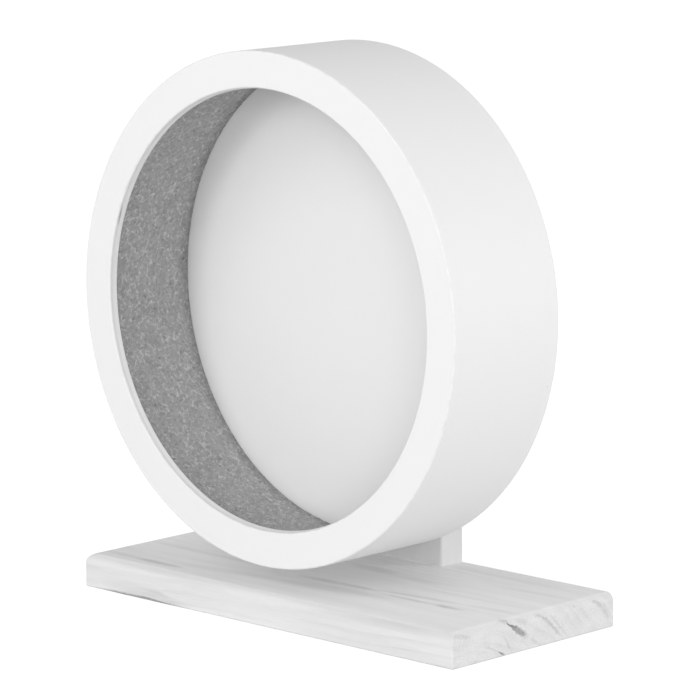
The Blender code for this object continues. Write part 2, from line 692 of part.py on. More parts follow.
def upright_board(axis):
    """The upright, bored for the axle bolt and drilled in its foot for the base screws."""
    levels = []
    for step in range(EASING_STEPS + 1):
        angle = math.pi / 2 * step / EASING_STEPS
        inset = UPRIGHT_EASING * (1 - math.sin(angle))
        levels.append((inset, UPRIGHT_EASING * (1 - math.cos(angle))))
    outlines = [upright_outline(inset) for inset, _ in levels + levels[::-1]]
    depths = [UPRIGHT_FRONT + depth for _, depth in levels]
    depths += [UPRIGHT_BACK - depth for _, depth in levels[::-1]]
    shape = stacked(outlines, depths)
    for vert in shape.verts:
        vert.co = (vert.co.x, vert.co.z, vert.co.y)
    board = add_piece("upright_board", shape, PINE)
    bore = rod_profile(BOLT_RADIUS + FIT_GAP, UPRIGHT_FRONT - OVERRUN, UPRIGHT_BACK + OVERRUN)
    cut(board, turned(bore, HUB_SEGMENTS), "upright_bore", axis)
    tip = BASE_SCREW_TIP + FIT_GAP
    hole = [
        (0, BASE_THICKNESS - OVERRUN),
        (BASE_SCREW_RADIUS + FIT_GAP, BASE_THICKNESS - OVERRUN),
        (BASE_SCREW_RADIUS + FIT_GAP, tip - SCREW_POINT_LENGTH + FIT_GAP),
        (0, tip + FIT_GAP),
    ]
    for number, place in base_screw_places():
        cut(board, turned(hole, SCREW_SEGMENTS), "upright_pilot_" + str(number), None, place)


def base_screws():
    """The countersunk screws, driven from beneath through the base into the upright."""
    profile = base_screw_profile(0, BASE_SCREW_SINK, BASE_SCREW_TIP)
    del profile[2]
    for number, place in base_screw_places():
        name = "base_screw_" + str(number)
        add_piece(name, turned(profile, SCREW_SEGMENTS), ZINC_PLATED_STEEL, None, place)


def build_wheel(axis):
    """Everything that turns with the drum, apart from the bearings."""
    front_ring(axis)
    drum_wall(axis)
    running_mat(axis)
    back_disc(axis)
    bearing_housing(axis)
    hub_screws(axis)


def build_stand(axis):
    """The boards, and what the axle bolt clamps to them."""
    base_board()
    upright_board(axis)
    base_screws()
    axle_bolt(axis)
    spacers(axis)
    rear_washer(axis)
    lock_nut(axis)


def main():
    """Builds the wheel on its stand."""
    clear_scene()
    centre = (0, 0, AXLE_HEIGHT)
    wheel_axis = add_axis("wheel_axis", centre)
    front_cage_axis = add_axis("front_cage_axis", centre)
    rear_cage_axis = add_axis("rear_cage_axis", centre)
    stand_axis = add_axis("stand_axis", centre)
    build_wheel(wheel_axis)
    bearing("front", FRONT_BEARING_FRONT, wheel_axis, front_cage_axis, stand_axis)
    bearing("rear", REAR_BEARING_FRONT, wheel_axis, rear_cage_axis, stand_axis)
    build_stand(stand_axis)


main()
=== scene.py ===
"""The finished look of a hamster wheel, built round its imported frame.

Metres, +Z up. The wheel turns about an axle that runs along Y, its open front faces -Y, and the
upright that carries it stands behind it at +Y on a pale pine base.
"""
import json
import logging
import math
from abc import ABC, abstractmethod
from dataclasses import dataclass, field
from enum import Enum

import bmesh
import bpy
from mathutils import Matrix, Vector, noise


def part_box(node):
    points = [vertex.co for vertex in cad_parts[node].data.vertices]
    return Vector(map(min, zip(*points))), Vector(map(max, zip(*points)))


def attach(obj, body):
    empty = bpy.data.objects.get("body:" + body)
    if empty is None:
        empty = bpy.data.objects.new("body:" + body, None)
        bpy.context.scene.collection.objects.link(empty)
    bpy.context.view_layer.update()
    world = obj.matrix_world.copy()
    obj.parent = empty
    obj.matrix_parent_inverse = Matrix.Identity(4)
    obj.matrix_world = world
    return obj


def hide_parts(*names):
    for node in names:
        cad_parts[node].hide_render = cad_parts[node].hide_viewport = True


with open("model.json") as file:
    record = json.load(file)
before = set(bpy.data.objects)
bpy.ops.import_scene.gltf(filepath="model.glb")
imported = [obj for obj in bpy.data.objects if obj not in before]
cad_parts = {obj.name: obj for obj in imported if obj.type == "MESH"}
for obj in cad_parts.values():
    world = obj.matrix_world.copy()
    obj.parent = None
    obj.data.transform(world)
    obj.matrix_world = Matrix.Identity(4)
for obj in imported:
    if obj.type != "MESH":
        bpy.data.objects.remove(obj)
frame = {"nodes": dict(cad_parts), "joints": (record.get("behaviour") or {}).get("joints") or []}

LOG = logging.getLogger("hamster_wheel")
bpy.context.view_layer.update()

# The axle's height above the ground, from the wheel's own joint.
AXLE_HEIGHT = frame["joints"][0]["pos_m"][2]
AXLE = Vector((0, 0, AXLE_HEIGHT))
HUB_SCREWS = 4
BASE_SCREWS = ("base_screw_1", "base_screw_2")

QUARTER_TURN = math.pi / 2
HALF_TURN = math.pi
FULL_TURN = 2 * math.pi
HEXAGON_SIDES = 6
# Lays the height of a shape along Y, where its outline is drawn as seen from the front.
ALONG_Y = (0, 2, 1)

# A cutter runs this far past what it cuts.
OVERRUN = 0.0005
# Points closer than this are one point.
MERGE_DISTANCE = 0.000001
# A support point beside a rounded corner keeps the flat next to it flat in the shading.
SUPPORT = 0.0002
# How wide a cross recess still is at its bottom.
RECESS_END_SHARE = 0.5
CORNER_STEPS = 6
LARGE_SEGMENTS = 256
SMALL_SEGMENTS = 72
SCREW_SEGMENTS = 48

SHARP_ANGLE = math.radians(32)
ARRIS_ANGLE = math.radians(9)
# Wear is marked only where the faces beside an arris are shorter than this, so it can't spread.
ARRIS_FACE_LIMIT = 0.008
# The level that a noise varies round, and the detail of a fine one.
NOISE_MIDDLE = 0.5
FINE_DETAIL = 3.0
# A stroke is a spindle: how far it goes on from its middle, how wide it is and how much of it is full.
STROKE_LENGTH_SHARE = 0.7
STROKE_REACH_SHARE = 0.8
STROKE_FULL_SHARE = 0.3
# The cork's raised granules: how twisted they are, and how far in from its edge one still rises.
BUMP_TWIST = 0.6
BUMP_EDGE_RANGE = (0.0, 0.3)
# How steep a thread's flanks are. At 1 it would have no flat crest.
THREAD_STEEPNESS = 1.25

Corner = tuple[float, ...]
Point = tuple[float, float]
Range = tuple[float, float]
Place = tuple[float, float, float]
# Numbers, vectors or sockets, by the name or the number of the input that they go into.
Inputs = dict[str | int, object]
Socket = bpy.types.NodeSocket
Piece = bpy.types.Object
Solid = bmesh.types.BMesh


class Slot(Enum):
    """The record's material slots."""

    WHITE_PAINT = "white_paint"
    CORK_MAT = "cork_mat"
    PINE = "pine"
    ZINC_CASTING = "zinc_casting"
    BEARING_STEEL = "bearing_steel"
    ZINC_PLATED = "zinc_plated"
    NYLON = "nylon"


class Body(Enum):
    """The bodies that pieces ride on."""

    STAND = "stand"
    WHEEL = "wheel"
    FRONT_BALLS = "front_balls"
    REAR_BALLS = "rear_balls"


class Cut(Enum):
    """How one shape works on another."""

    AWAY = "DIFFERENCE"
    ON = "UNION"
    COMMON = "INTERSECT"


@dataclass(frozen=True)
class Turned:
    """Where a turned CAD node lies: its radii round the axle and its stretch along Y."""

    inner: float
    outer: float
    front: float
    back: float

    @classmethod
    def of(cls, node: str) -> "Turned":
        """Measures a CAD node.

        Args:
            node: The node's name.

        Returns:
            The node's radii and stretch.
        """
        low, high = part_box(node)
        points = [vertex.co for vertex in frame["nodes"][node].data.vertices]
        radii = [math.hypot(point.x, point.z - AXLE_HEIGHT) for point in points]
        return cls(min(radii), max(radii), low.y, high.y)

    @property
    def middle(self) -> float:
        """Half way along."""
        return (self.front + self.back) / 2


def measured(node: str) -> Turned:
    """A field of a dataclass that holds a CAD node's measures."""
    return field(default_factory=lambda: Turned.of(node))


def off_the_axle(node: str) -> float:
    """How far a CAD node's middle is from the axle."""
    low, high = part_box(node)
    return ((low + high) / 2 - AXLE).xz.length


@dataclass(frozen=True)
class Mark:
    """A soft stroke on a surface, from one place to another, with its reach to each side."""

    start: Place
    end: Place
    reach: float
    share: float


class Graph:
    """Adds nodes to a node tree and links them, so that a tree reads as a list of steps."""

    def __init__(self, tree: bpy.types.NodeTree) -> None:
        """Keeps the tree that the nodes go into."""
        self.tree = tree

    def fill(self, node: bpy.types.Node, inputs: Inputs) -> None:
        """Gives a node's inputs their values, or links them.

        Args:
            node: The node.
            inputs: Numbers, vectors or sockets, by the input's name or number.
        """
        for key, value in inputs.items():
            if isinstance(value, Socket):
                self.tree.links.new(value, node.inputs[key])
            else:
                node.inputs[key].default_value = value

    def node(self, kind: str, inputs: Inputs | None = None,
             **settings: object) -> bpy.types.Node:
        """Adds a node.

        Args:
            kind: The node's type name.
            inputs: What goes into its inputs.
            settings: The node's own settings.

        Returns:
            The node.
        """
        node = self.tree.nodes.new(kind)
        for name, value in settings.items():
            setattr(node, name, value)
        self.fill(node, inputs or {})
        return node

    def add(self, kind: str, inputs: Inputs | None = None, output: str | int = 0,
            **settings: object) -> Socket:
        """Adds a node and returns one of its outputs."""
        return self.node(kind, inputs, **settings).outputs[output]

    def maths(self, operation: str, *values: object, clamp: bool = False) -> Socket:
        """Adds a Math node, its result kept from 0 to 1 where clamp is set."""
        return self.add("ShaderNodeMath", dict(enumerate(values)), operation=operation, use_clamp=clamp)

    def vector(self, operation: str, *values: object, output: str = "Vector") -> Socket:
        """Adds a Vector Math node. A length or a product is its Value."""
        return self.add("ShaderNodeVectorMath", dict(enumerate(values)), output, operation=operation)

    def scaled(self, vector: object, scale: object) -> Socket:
        """Multiplies a vector by a number."""
        return self.add("ShaderNodeVectorMath", {0: vector, "Scale": scale}, operation="SCALE")

    def parts(self, vector: object) -> bpy.types.NodeOutputs:
        """Splits a vector into its X, Y and Z."""
        return self.node("ShaderNodeSeparateXYZ", {0: vector}).outputs

    def about_y(self, angle: Socket) -> Socket:
        """Adds a rotation about Y."""
        return self.add("FunctionNodeAxisAngleToRotation", {"Angle": angle, "Axis": (0.0, 1.0, 0.0)})

    def step(self, value: Socket, low: float, high: float) -> Socket:
        """Rises smoothly from 0 at low to 1 at high, or falls where low is the larger.

        Args:
            value: The socket that is read.
            low: Where the result is 0.
            high: Where the result is 1.

        Returns:
            The result.
        """
        backwards = low > high
        return self.add("ShaderNodeMapRange", {
            "Value": value,
            "From Min": min(low, high),
            "From Max": max(low, high),
            "To Min": 1.0 if backwards else 0.0,
            "To Max": 0.0 if backwards else 1.0,
        }, interpolation_type="SMOOTHSTEP")

    def spread(self, value: Socket, middle: float, reach: float) -> Socket:
        """Turns a pattern of 0 to 1 into middle minus reach to middle plus reach."""
        return self.maths("MULTIPLY_ADD", value, 2 * reach, middle - reach)

    def summed(self, total: object, *layers: tuple[Socket, object]) -> Socket:
        """Adds patterns to a total, each of them times its own share.

        Args:
            total: What the patterns are added to.
            layers: Each as (pattern, share).

        Returns:
            The sum.
        """
        for pattern, share in layers:
            total = self.maths("MULTIPLY_ADD", pattern, share, total)
        return total

    def cloud(self, place: Socket, size: float, detail: float = 2.0, twist: float = 0.0,
              output: str = "Fac") -> Socket:
        """Adds a noise with features of a size, more or less detailed and twisted."""
        inputs = {"Vector": place, "Scale": 1 / size, "Detail": detail, "Distortion": twist}
        return self.add("ShaderNodeTexNoise", inputs, output)

    def streaks(self, place: Socket, sizes: Place, output: str = "Fac") -> Socket:
        """Adds a noise whose features have a size of their own along X, Y and Z."""
        return self.cloud(self.vector("DIVIDE", place, sizes), 1.0, output=output)

    def cells(self, place: Socket, size: float, output: str = "Distance", feature: str = "F1") -> Socket:
        """Adds a pattern of cells of a size."""
        inputs = {"Vector": place, "Scale": 1 / size}
        return self.add("ShaderNodeTexVoronoi", inputs, output, feature=feature)

    def specks(self, place: Socket, spacing: float, reach_share: float, rare_share: float) -> Socket:
        """Adds scattered round specks.

        Args:
            place: The place's socket.
            spacing: The size of the cells that may hold a speck.
            reach_share: A speck's radius as a share of a cell.
            rare_share: The share of cells that stay empty.

        Returns:
            1 in a speck and 0 elsewhere.
        """
        near = self.step(self.cells(place, spacing), reach_share, reach_share / 2)
        chosen = self.maths("GREATER_THAN", self.cells(place, spacing, "Color"), rare_share)
        return self.maths("MULTIPLY", near, chosen)

    def strokes(self, place: Socket, marks: tuple[Mark, ...]) -> Socket:
        """Adds soft strokes that taper to both ends, the strongest of them wherever they cross.

        Args:
            place: The place's socket.
            marks: The strokes.

        Returns:
            Each stroke's own share in its middle, falling to 0 at its edge.
        """
        total = 0.0
        for mark in marks:
            start, end = Vector(mark.start), Vector(mark.end)
            along = end - start
            reach = STROKE_REACH_SHARE * mark.reach
            inside = self.add("ShaderNodeMapping", {
                "Vector": place,
                "Location": tuple((start + end) / 2),
                "Rotation": tuple(along.to_track_quat("X", "Z").to_euler()),
                "Scale": (STROKE_LENGTH_SHARE * along.length, reach, reach),
            }, vector_type="TEXTURE")
            away = self.vector("LENGTH", inside, output="Value")
            stroke = self.maths("MULTIPLY", self.step(away, 1.0, STROKE_FULL_SHARE), mark.share)
            total = self.maths("MAXIMUM", total, stroke)
        return total

    def relief(self, height: Socket, depth: float) -> Socket:
        """Turns a height of 0 to 1 into a normal that is as uneven as a depth says."""
        return self.add("ShaderNodeBump", {"Height": height, "Distance": depth, "Strength": 1.0})


class Finish(ABC):
    """What the finishes share: a Principled material whose nodes read Object coordinates."""

    name: str

    @abstractmethod
    def patterns(self, graph: Graph, place: Socket) -> Inputs:
        """Adds the finish's patterns.

        Args:
            graph: The material's graph.
            place: The place on the object.

        Returns:
            What goes into the shader, by the name of its input.
        """

    def material(self) -> bpy.types.Material:
        """Builds the material.

        Returns:
            The material.
        """
        material = bpy.data.materials.new(self.name)
        material.use_nodes = True
        graph = Graph(material.node_tree)
        place = graph.add("ShaderNodeTexCoord", output="Object")
        graph.fill(material.node_tree.nodes["Principled BSDF"], self.patterns(graph, place))
        return material


def round_the_axle(node: str, radius: float, start: Point, end: Point,
                   reach: float, share: float) -> Mark:
    """A mark on a round node.

    Args:
        node: The node.
        radius: How far from the axle the mark lies.
        start: Where it starts, as (how far behind the node's front, angle in degrees).
        end: Where it ends.
        reach: Its reach to each side.
        share: Its own share.

    Returns:
        The mark.
    """
    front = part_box(node)[0].y
    places = []
    for deep, degrees in (start, end):
        angle = math.radians(degrees)
        places.append((radius * math.cos(angle), front + deep, AXLE_HEIGHT + radius * math.sin(angle)))
    return Mark(*places, reach, share)


@dataclass(frozen=True)
class WhitePaint(Finish):
    """Smooth satin white paint on bent plywood and board, faintly clouded, worn thin on edges."""

    name: str = "white_paint"
    tone: float = 0.86
    cloud_size: float = 0.045
    cloud_share: float = 0.006
    stipple_size: float = 0.0016
    stipple_depth: float = 0.000007
    speck_spacing: float = 0.024
    speck_reach_share: float = 0.02
    speck_rare_share: float = 0.62
    speck_dark_share: float = 0.45
    arris_dark_share: float = 0.05
    arris_patch_size: float = 0.006
    arris_patch_range: Range = (0.45, 0.62)
    marks: tuple[Mark, ...] = ()
    roughness: float = 0.55
    roughness_reach: float = 0.05
    gloss: float = 0.25

    def patterns(self, graph: Graph, place: Socket) -> Inputs:
        """Adds clouds, specks, worn arrises and marks, over a fine stipple.

        Args:
            graph: The material's graph.
            place: The place on the object.

        Returns:
            What goes into the shader, by the name of its input.
        """
        cloud = graph.cloud(place, self.cloud_size)
        stipple = graph.cloud(place, self.stipple_size, FINE_DETAIL)
        specks = graph.specks(place, self.speck_spacing, self.speck_reach_share, self.speck_rare_share)
        arris = graph.add("ShaderNodeAttribute", output="Fac", attribute_name="arris")
        patches = graph.step(graph.cloud(place, self.arris_patch_size, FINE_DETAIL), *self.arris_patch_range)
        worn = graph.maths("MULTIPLY", arris, patches)
        lost = graph.summed(0.0, (specks, self.speck_dark_share), (worn, self.arris_dark_share))
        lost = graph.maths("MAXIMUM", lost, graph.strokes(place, self.marks))
        tone = graph.spread(cloud, self.tone, self.tone * self.cloud_share)
        return {
            "Base Color": graph.maths("MULTIPLY", tone, graph.maths("SUBTRACT", 1.0, lost)),
            "Roughness": graph.spread(cloud, self.roughness, self.roughness_reach),
            "Normal": graph.relief(stipple, self.stipple_depth),
            "Specular IOR Level": self.gloss,
        }


@dataclass(frozen=True)
class CorkMat(Finish):
    """Matt granulated cork sheet with fine light and dark specks, darker in a strip beside the disc: glue
    soaked in, and painted shade in the corner.
    """

    name: str = "cork_mat"
    # The tone is lighter than real cork: painted light that makes up for the shade inside the drum.
    tone: float = 0.462
    granule_size: float = 0.0017
    granule_share: float = 0.19
    granule_edge_range: Range = (0.0, 0.25)
    fine_size: float = 0.0009
    fine_twist: float = 0.8
    fine_range: Range = (0.28, 0.72)
    fine_share: float = 0.08
    cloud_size: float = 0.010
    cloud_range: Range = (0.30, 0.70)
    cloud_share: float = 0.03
    dark_spacing: float = 0.0034
    dark_reach_share: float = 0.30
    dark_rare_share: float = 0.74
    dark_share: float = 0.30
    light_spacing: float = 0.0031
    light_reach_share: float = 0.20
    light_rare_share: float = 0.66
    light_share: float = 0.36
    fleck_size: float = 0.0034
    fleck_range: Range = (0.062, 0.062 / 3)
    fleck_patch_size: float = 0.0034
    fleck_patch_range: Range = (0.49, 0.53)
    fleck_share: float = 0.38
    # The strip beside the disc is darker: partly glue soaked in, partly painted shade in the corner by the
    # disc.
    glue_and_shade_width: float = 0.0090
    glue_and_shade_share: float = 0.26
    relief: float = 0.00020
    roughness: float = 0.88
    roughness_reach: float = 0.06
    gloss: float = 0.3

    def patterns(self, graph: Graph, place: Socket) -> Inputs:
        """Adds granules, flecks and specks, and the strip beside the disc, darkened by glue and by painted
        shade.

        Args:
            graph: The material's graph.
            place: The place on the object.

        Returns:
            What goes into the shader, by the name of its input.
        """
        shift = graph.cloud(place, self.granule_size, output="Color")
        warped = graph.vector("MULTIPLY_ADD", shift, (self.fine_size,) * 3, place)
        granules = graph.cells(warped, self.granule_size, "Color")
        edges = graph.cells(warped, self.granule_size, feature="DISTANCE_TO_EDGE")
        fine = graph.step(graph.cloud(place, self.fine_size, twist=self.fine_twist), *self.fine_range)
        cloud = graph.step(graph.cloud(place, self.cloud_size), *self.cloud_range)
        dark = graph.specks(warped, self.dark_spacing, self.dark_reach_share, self.dark_rare_share)
        light = graph.specks(place, self.light_spacing, self.light_reach_share, self.light_rare_share)
        # A fleck lies where one noise is near its middle, in patches that another noise leaves.
        crest = graph.maths("SUBTRACT", graph.cloud(place, self.fleck_size, 1.0), NOISE_MIDDLE)
        crest = graph.step(graph.maths("ABSOLUTE", crest), *self.fleck_range)
        patches = graph.step(graph.cloud(warped, self.fleck_patch_size, 0.0), *self.fleck_patch_range)
        flecks = graph.maths("MULTIPLY", crest, patches)
        share = graph.spread(granules, 1.0 - self.fine_share - self.cloud_share, self.granule_share)
        share = graph.summed(
            share, (fine, 2 * self.fine_share), (cloud, 2 * self.cloud_share),
            (flecks, self.fleck_share), (light, self.light_share), (dark, -self.dark_share))
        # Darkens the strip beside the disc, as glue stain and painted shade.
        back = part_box("running_mat")[1].y
        glued = graph.step(graph.parts(place)["Y"], back - self.glue_and_shade_width, back)
        share = graph.maths("MULTIPLY", share, graph.summed(1.0, (glued, -self.glue_and_shade_share)))
        height = graph.maths("ADD", graph.step(edges, *self.granule_edge_range), fine)
        return {
            "Base Color": graph.maths("MULTIPLY", share, self.tone, clamp=True),
            "Roughness": graph.spread(fine, self.roughness, self.roughness_reach),
            "Normal": graph.relief(height, self.relief),
            "Specular IOR Level": self.gloss,
        }


class Grain(Enum):
    """The way that a board's fibres run, and how its coordinates are turned to lie along X."""

    LENGTHWISE = (0.0, 0.0, 0.0)
    UPRIGHT = (0.0, QUARTER_TURN, 0.0)


def on_top(*strokes: tuple[float, ...]) -> tuple[Mark, ...]:
    """Marks on the top of the base, each as (start X, start Y, end X, end Y, reach, share)."""
    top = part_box("base_board")[1].z
    return tuple(Mark((x, y, top), (to_x, to_y, top), *rest) for x, y, to_x, to_y, *rest in strokes)


def on_right_end(*strokes: tuple[float, ...]) -> tuple[Mark, ...]:
    """Marks on the base's right end, each as (how deep, start Y, start Z, end Y, end Z, reach, share)."""
    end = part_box("base_board")[1].x
    return tuple(Mark((end - deep, y, z), (end - deep, to_y, to_z), *rest)
                 for deep, y, z, to_y, to_z, *rest in strokes)


def on_front(*strokes: tuple[float, ...]) -> tuple[Mark, ...]:
    """Marks on the front of the base, each as (start X, start Z, end X, end Z, reach, share)."""
    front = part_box("base_board")[0].y
    return tuple(Mark((x, front, z), (to_x, front, to_z), *rest) for x, z, to_x, to_z, *rest in strokes)


@dataclass(frozen=True)
class Pine(Finish):
    """Pale, lightly whitened pine: growth rings round a pith outside the board, fibres and streaks."""

    name: str = "pine"
    grain: Grain = Grain.LENGTHWISE
    # The tone is set high as painted light, which lightens the top of the base; the edges are painted darker
    # again.
    tone: float = 0.90
    # The pith lies below the board and in front of it, and it isn't quite parallel to the board.
    pith: Point = (-0.056, -0.076)
    pith_slope: float = 0.03
    ring_spacing: float = 0.0062
    ring_uneven_size: float = 0.0186
    ring_uneven_reach: float = 0.0045
    ring_contrast_share: float = 0.055
    # Where in a ring the late wood darkens, and where it ends.
    late_range: Range = (0.30, 0.90)
    late_end_range: Range = (1.0, 0.93)
    sway_sizes: Place = (0.150, 0.050, 0.050)
    sway_reach: float = 0.0035
    fade_sizes: Place = (0.060, 0.012, 0.012)
    fade_range: Range = (0.30, 0.70)
    fibre_sizes: Place = (0.014, 0.0007, 0.0007)
    fibre_range: Range = (0.28, 0.72)
    fibre_share: float = 0.016
    band_sizes: Place = (0.090, 0.0060, 0.0060)
    band_share: float = 0.034
    # How squarely a face looks along the grain, or along the board's thickness.
    end_range: Range = (0.5, 0.9)
    broad_range: Range = (0.8, 1.0)
    end_fibre_share: float = 0.045
    end_ring_share: float = 0.010
    end_share: float = 0.030
    # Painted shade: the board's edges are darker than its broad faces, so that the top reads lighter than
    # the lamps alone make it.
    side_shade_share: float = 0.125
    pore_spacing: float = 0.0024
    pore_reach_share: float = 0.20
    pore_rare_share: float = 0.45
    pore_share: float = 0.07
    marks: tuple[Mark, ...] = ()
    mark_uneven_share: float = 0.35
    ragged_sizes: Place = (0.010, 0.0018, 0.0018)
    ragged_reach: float = 0.0012
    relief: float = 0.00006
    roughness: float = 0.62
    roughness_reach: float = 0.08
    gloss: float = 0.35

    def rings(self, graph: Graph, place: Socket) -> Socket:
        """Adds the growth rings, each pale at first and darkening to a sharp outer edge.

        Args:
            graph: The material's graph.
            place: The place on the board, its grain along X.

        Returns:
            How dark the late wood is, from 0 to 1.
        """
        parts = graph.parts(place)
        across = graph.maths("SUBTRACT", parts["Y"], self.pith[0])
        up = graph.maths("SUBTRACT", parts["Z"], self.pith[1])
        square = graph.summed(0.0, (across, across), (up, up))
        sway = graph.spread(graph.streaks(place, self.sway_sizes), 0.0, 2 * self.sway_reach)
        radius = graph.maths("ADD", graph.maths("SQRT", square), sway)
        radius = graph.summed(radius, (parts["X"], -self.pith_slope))
        uneven = graph.add("ShaderNodeTexNoise", {"W": radius, "Scale": 1 / self.ring_uneven_size},
                           "Fac", noise_dimensions="1D")
        radius = graph.maths("ADD", radius, graph.spread(uneven, 0.0, 2 * self.ring_uneven_reach))
        turn = graph.maths("FRACT", graph.maths("DIVIDE", radius, self.ring_spacing))
        late = graph.maths(
            "MULTIPLY", graph.step(turn, *self.late_range), graph.step(turn, *self.late_end_range))
        fade = graph.step(graph.streaks(place, self.fade_sizes), *self.fade_range)
        return graph.maths("MULTIPLY", late, fade)

    def ragged_marks(self, graph: Graph, place: Socket, turned: Socket, fibre: Socket) -> Socket:
        """Adds the streaks on the board, ragged along the grain, and painted shade in the large check and
        under the front's bottom edge.

        Args:
            graph: The material's graph.
            place: The place on the board.
            turned: The same place with the grain along X.
            fibre: The fibres, which break the streaks up.

        Returns:
            How much darker the streaks are.
        """
        ragged = graph.streaks(turned, self.ragged_sizes, "Color")
        shift = graph.scaled(graph.vector("SUBTRACT", ragged, (NOISE_MIDDLE,) * 3), 2 * self.ragged_reach)
        strokes = graph.strokes(graph.vector("ADD", place, shift), self.marks)
        return graph.maths("MULTIPLY", strokes, graph.spread(fibre, 1.0, self.mark_uneven_share))

    def patterns(self, graph: Graph, place: Socket) -> Inputs:
        """Adds rings, fibres, bands, pores and streaks, each as a face of the board shows them.

        Args:
            graph: The material's graph.
            place: The place on the object.

        Returns:
            What goes into the shader, by the name of its input.
        """
        facing = graph.add("ShaderNodeTexCoord", output="Normal")
        turned, facing = (
            graph.add("ShaderNodeMapping", {"Vector": vector, "Rotation": self.grain.value})
            for vector in (place, facing))
        facing = graph.parts(facing)
        end_grain = graph.step(graph.maths("ABSOLUTE", facing["X"]), *self.end_range)
        edge = graph.step(graph.maths("ABSOLUTE", facing["Z"]), *self.broad_range[::-1])
        rings = self.rings(graph, turned)
        fibre = graph.step(graph.streaks(turned, self.fibre_sizes), *self.fibre_range)
        band = graph.streaks(turned, self.band_sizes)
        pores = graph.specks(turned, self.pore_spacing, self.pore_reach_share, self.pore_rare_share)
        pores = graph.maths("MULTIPLY", pores, end_grain)
        contrast = graph.summed(self.ring_contrast_share, (end_grain, self.end_ring_share))
        # The edges are painted darker than the broad faces, as painted shade.
        lost = graph.summed(
            0.0, (rings, contrast), (pores, self.pore_share), (edge, self.side_shade_share),
            (end_grain, self.end_share))
        if self.marks:
            lost = graph.maths("ADD", lost, self.ragged_marks(graph, place, turned, fibre))
        fibre_reach = graph.summed(self.fibre_share, (end_grain, self.end_fibre_share))
        share = graph.summed(
            1.0, (graph.spread(fibre, 0.0, 1.0), fibre_reach),
            (graph.spread(band, 0.0, 2.0), self.band_share), (lost, -1.0))
        return {
            "Base Color": graph.maths("MULTIPLY", share, self.tone, clamp=True),
            "Roughness": graph.spread(band, self.roughness, self.roughness_reach),
            "Normal": graph.relief(graph.maths("SUBTRACT", fibre, rings), self.relief),
            "Specular IOR Level": self.gloss,
        }


BASE_MARKS = (
    *on_top(
        (-0.0130, -0.0222, 0.0260, -0.0203, 0.0054, 0.17),
        (0.0100, -0.0205, 0.0470, -0.0196, 0.0044, 0.20),
        (0.0400, -0.0180, 0.1000, -0.0115, 0.0040, 0.14),
        (0.1000, -0.0115, 0.1390, -0.0080, 0.0048, 0.09),
        (0.0500, -0.0226, 0.0920, -0.0218, 0.0034, 0.18),
        (0.0880, -0.0219, 0.1080, -0.0214, 0.0038, 0.26),
        (-0.0800, -0.0450, -0.0130, -0.0365, 0.0080, 0.08),
        (-0.0200, -0.0370, 0.0620, -0.0285, 0.0085, 0.10),
        (-0.1450, -0.0515, -0.0900, -0.0528, 0.0050, 0.10),
        (-0.1130, -0.0526, -0.0750, -0.0530, 0.0046, 0.25),
        (-0.1350, -0.0175, -0.0500, -0.0185, 0.0048, 0.09),
        (-0.0100, 0.0180, 0.0250, 0.0170, 0.0075, 0.11),
        (0.0250, 0.0170, 0.0590, 0.0120, 0.0070, 0.05),
        (0.0550, 0.0020, 0.1390, 0.0035, 0.0040, 0.06),
        (0.0900, 0.0340, 0.1390, 0.0360, 0.0036, 0.05),
        (0.0400, 0.0500, 0.1250, 0.0515, 0.0050, 0.06),
    ),
    *on_right_end(
        (0.0, -0.0030, 0.0196, 0.0068, 0.0160, 0.0026, 0.20),
        (0.0, 0.0045, 0.0172, 0.0110, 0.0122, 0.0020, 0.20),
        (0.0, 0.0085, 0.0145, 0.0215, 0.0020, 0.0018, 0.20),
        (0.0, 0.0120, 0.0160, 0.0270, 0.0010, 0.0015, 0.13),
        (0.0, 0.0440, 0.0200, 0.0560, 0.0120, 0.0024, 0.18),
        (0.0, 0.0545, 0.0130, 0.0605, 0.0050, 0.0020, 0.15),
        (0.0, 0.0310, 0.0176, 0.0350, 0.0168, 0.0022, 0.17),
        (0.0, -0.0395, 0.0080, -0.0285, 0.0030, 0.0014, 0.12),
        (0.0, -0.0250, 0.0110, -0.0180, 0.0010, 0.0014, 0.14),
        (0.0, -0.0045, 0.0060, 0.0045, 0.0010, 0.0018, 0.12),
        (0.0, -0.0665, 0.0192, -0.0500, 0.0148, 0.0026, 0.13),
        (0.0, -0.0145, 0.0178, -0.0060, 0.0150, 0.0040, 0.10),
        (0.0, -0.0265, 0.0195, -0.0210, 0.0170, 0.0020, 0.20),
        # Painted shade: the next two darken the floor of the large check, below the end face.
        (0.0030, -0.0250, 0.0192, -0.0015, 0.0046, 0.0040, 0.44),
        (0.0022, -0.0295, 0.0032, -0.0230, 0.0002, 0.0028, 0.36),
    ),
    *on_front(
        (-0.1280, 0.0058, -0.0800, 0.0048, 0.0060, 0.07),
        (-0.1140, 0.0030, -0.0600, 0.0016, 0.0046, 0.12),
        # Painted shade: a dark line along the bottom edge at the left, under the eased edge.
        (-0.1270, 0.0004, -0.0620, 0.0002, 0.0024, 0.52),
        (-0.0960, 0.0064, -0.0700, 0.0040, 0.0022, 0.12),
        (-0.1450, 0.0186, -0.0250, 0.0182, 0.0050, 0.08),
        (0.0200, 0.0182, 0.1410, 0.0165, 0.0050, 0.06),
        (0.0200, 0.0040, 0.1450, 0.0030, 0.0080, 0.04),
        (0.0800, 0.0175, 0.0870, 0.0176, 0.0016, 0.14),
    ),
)


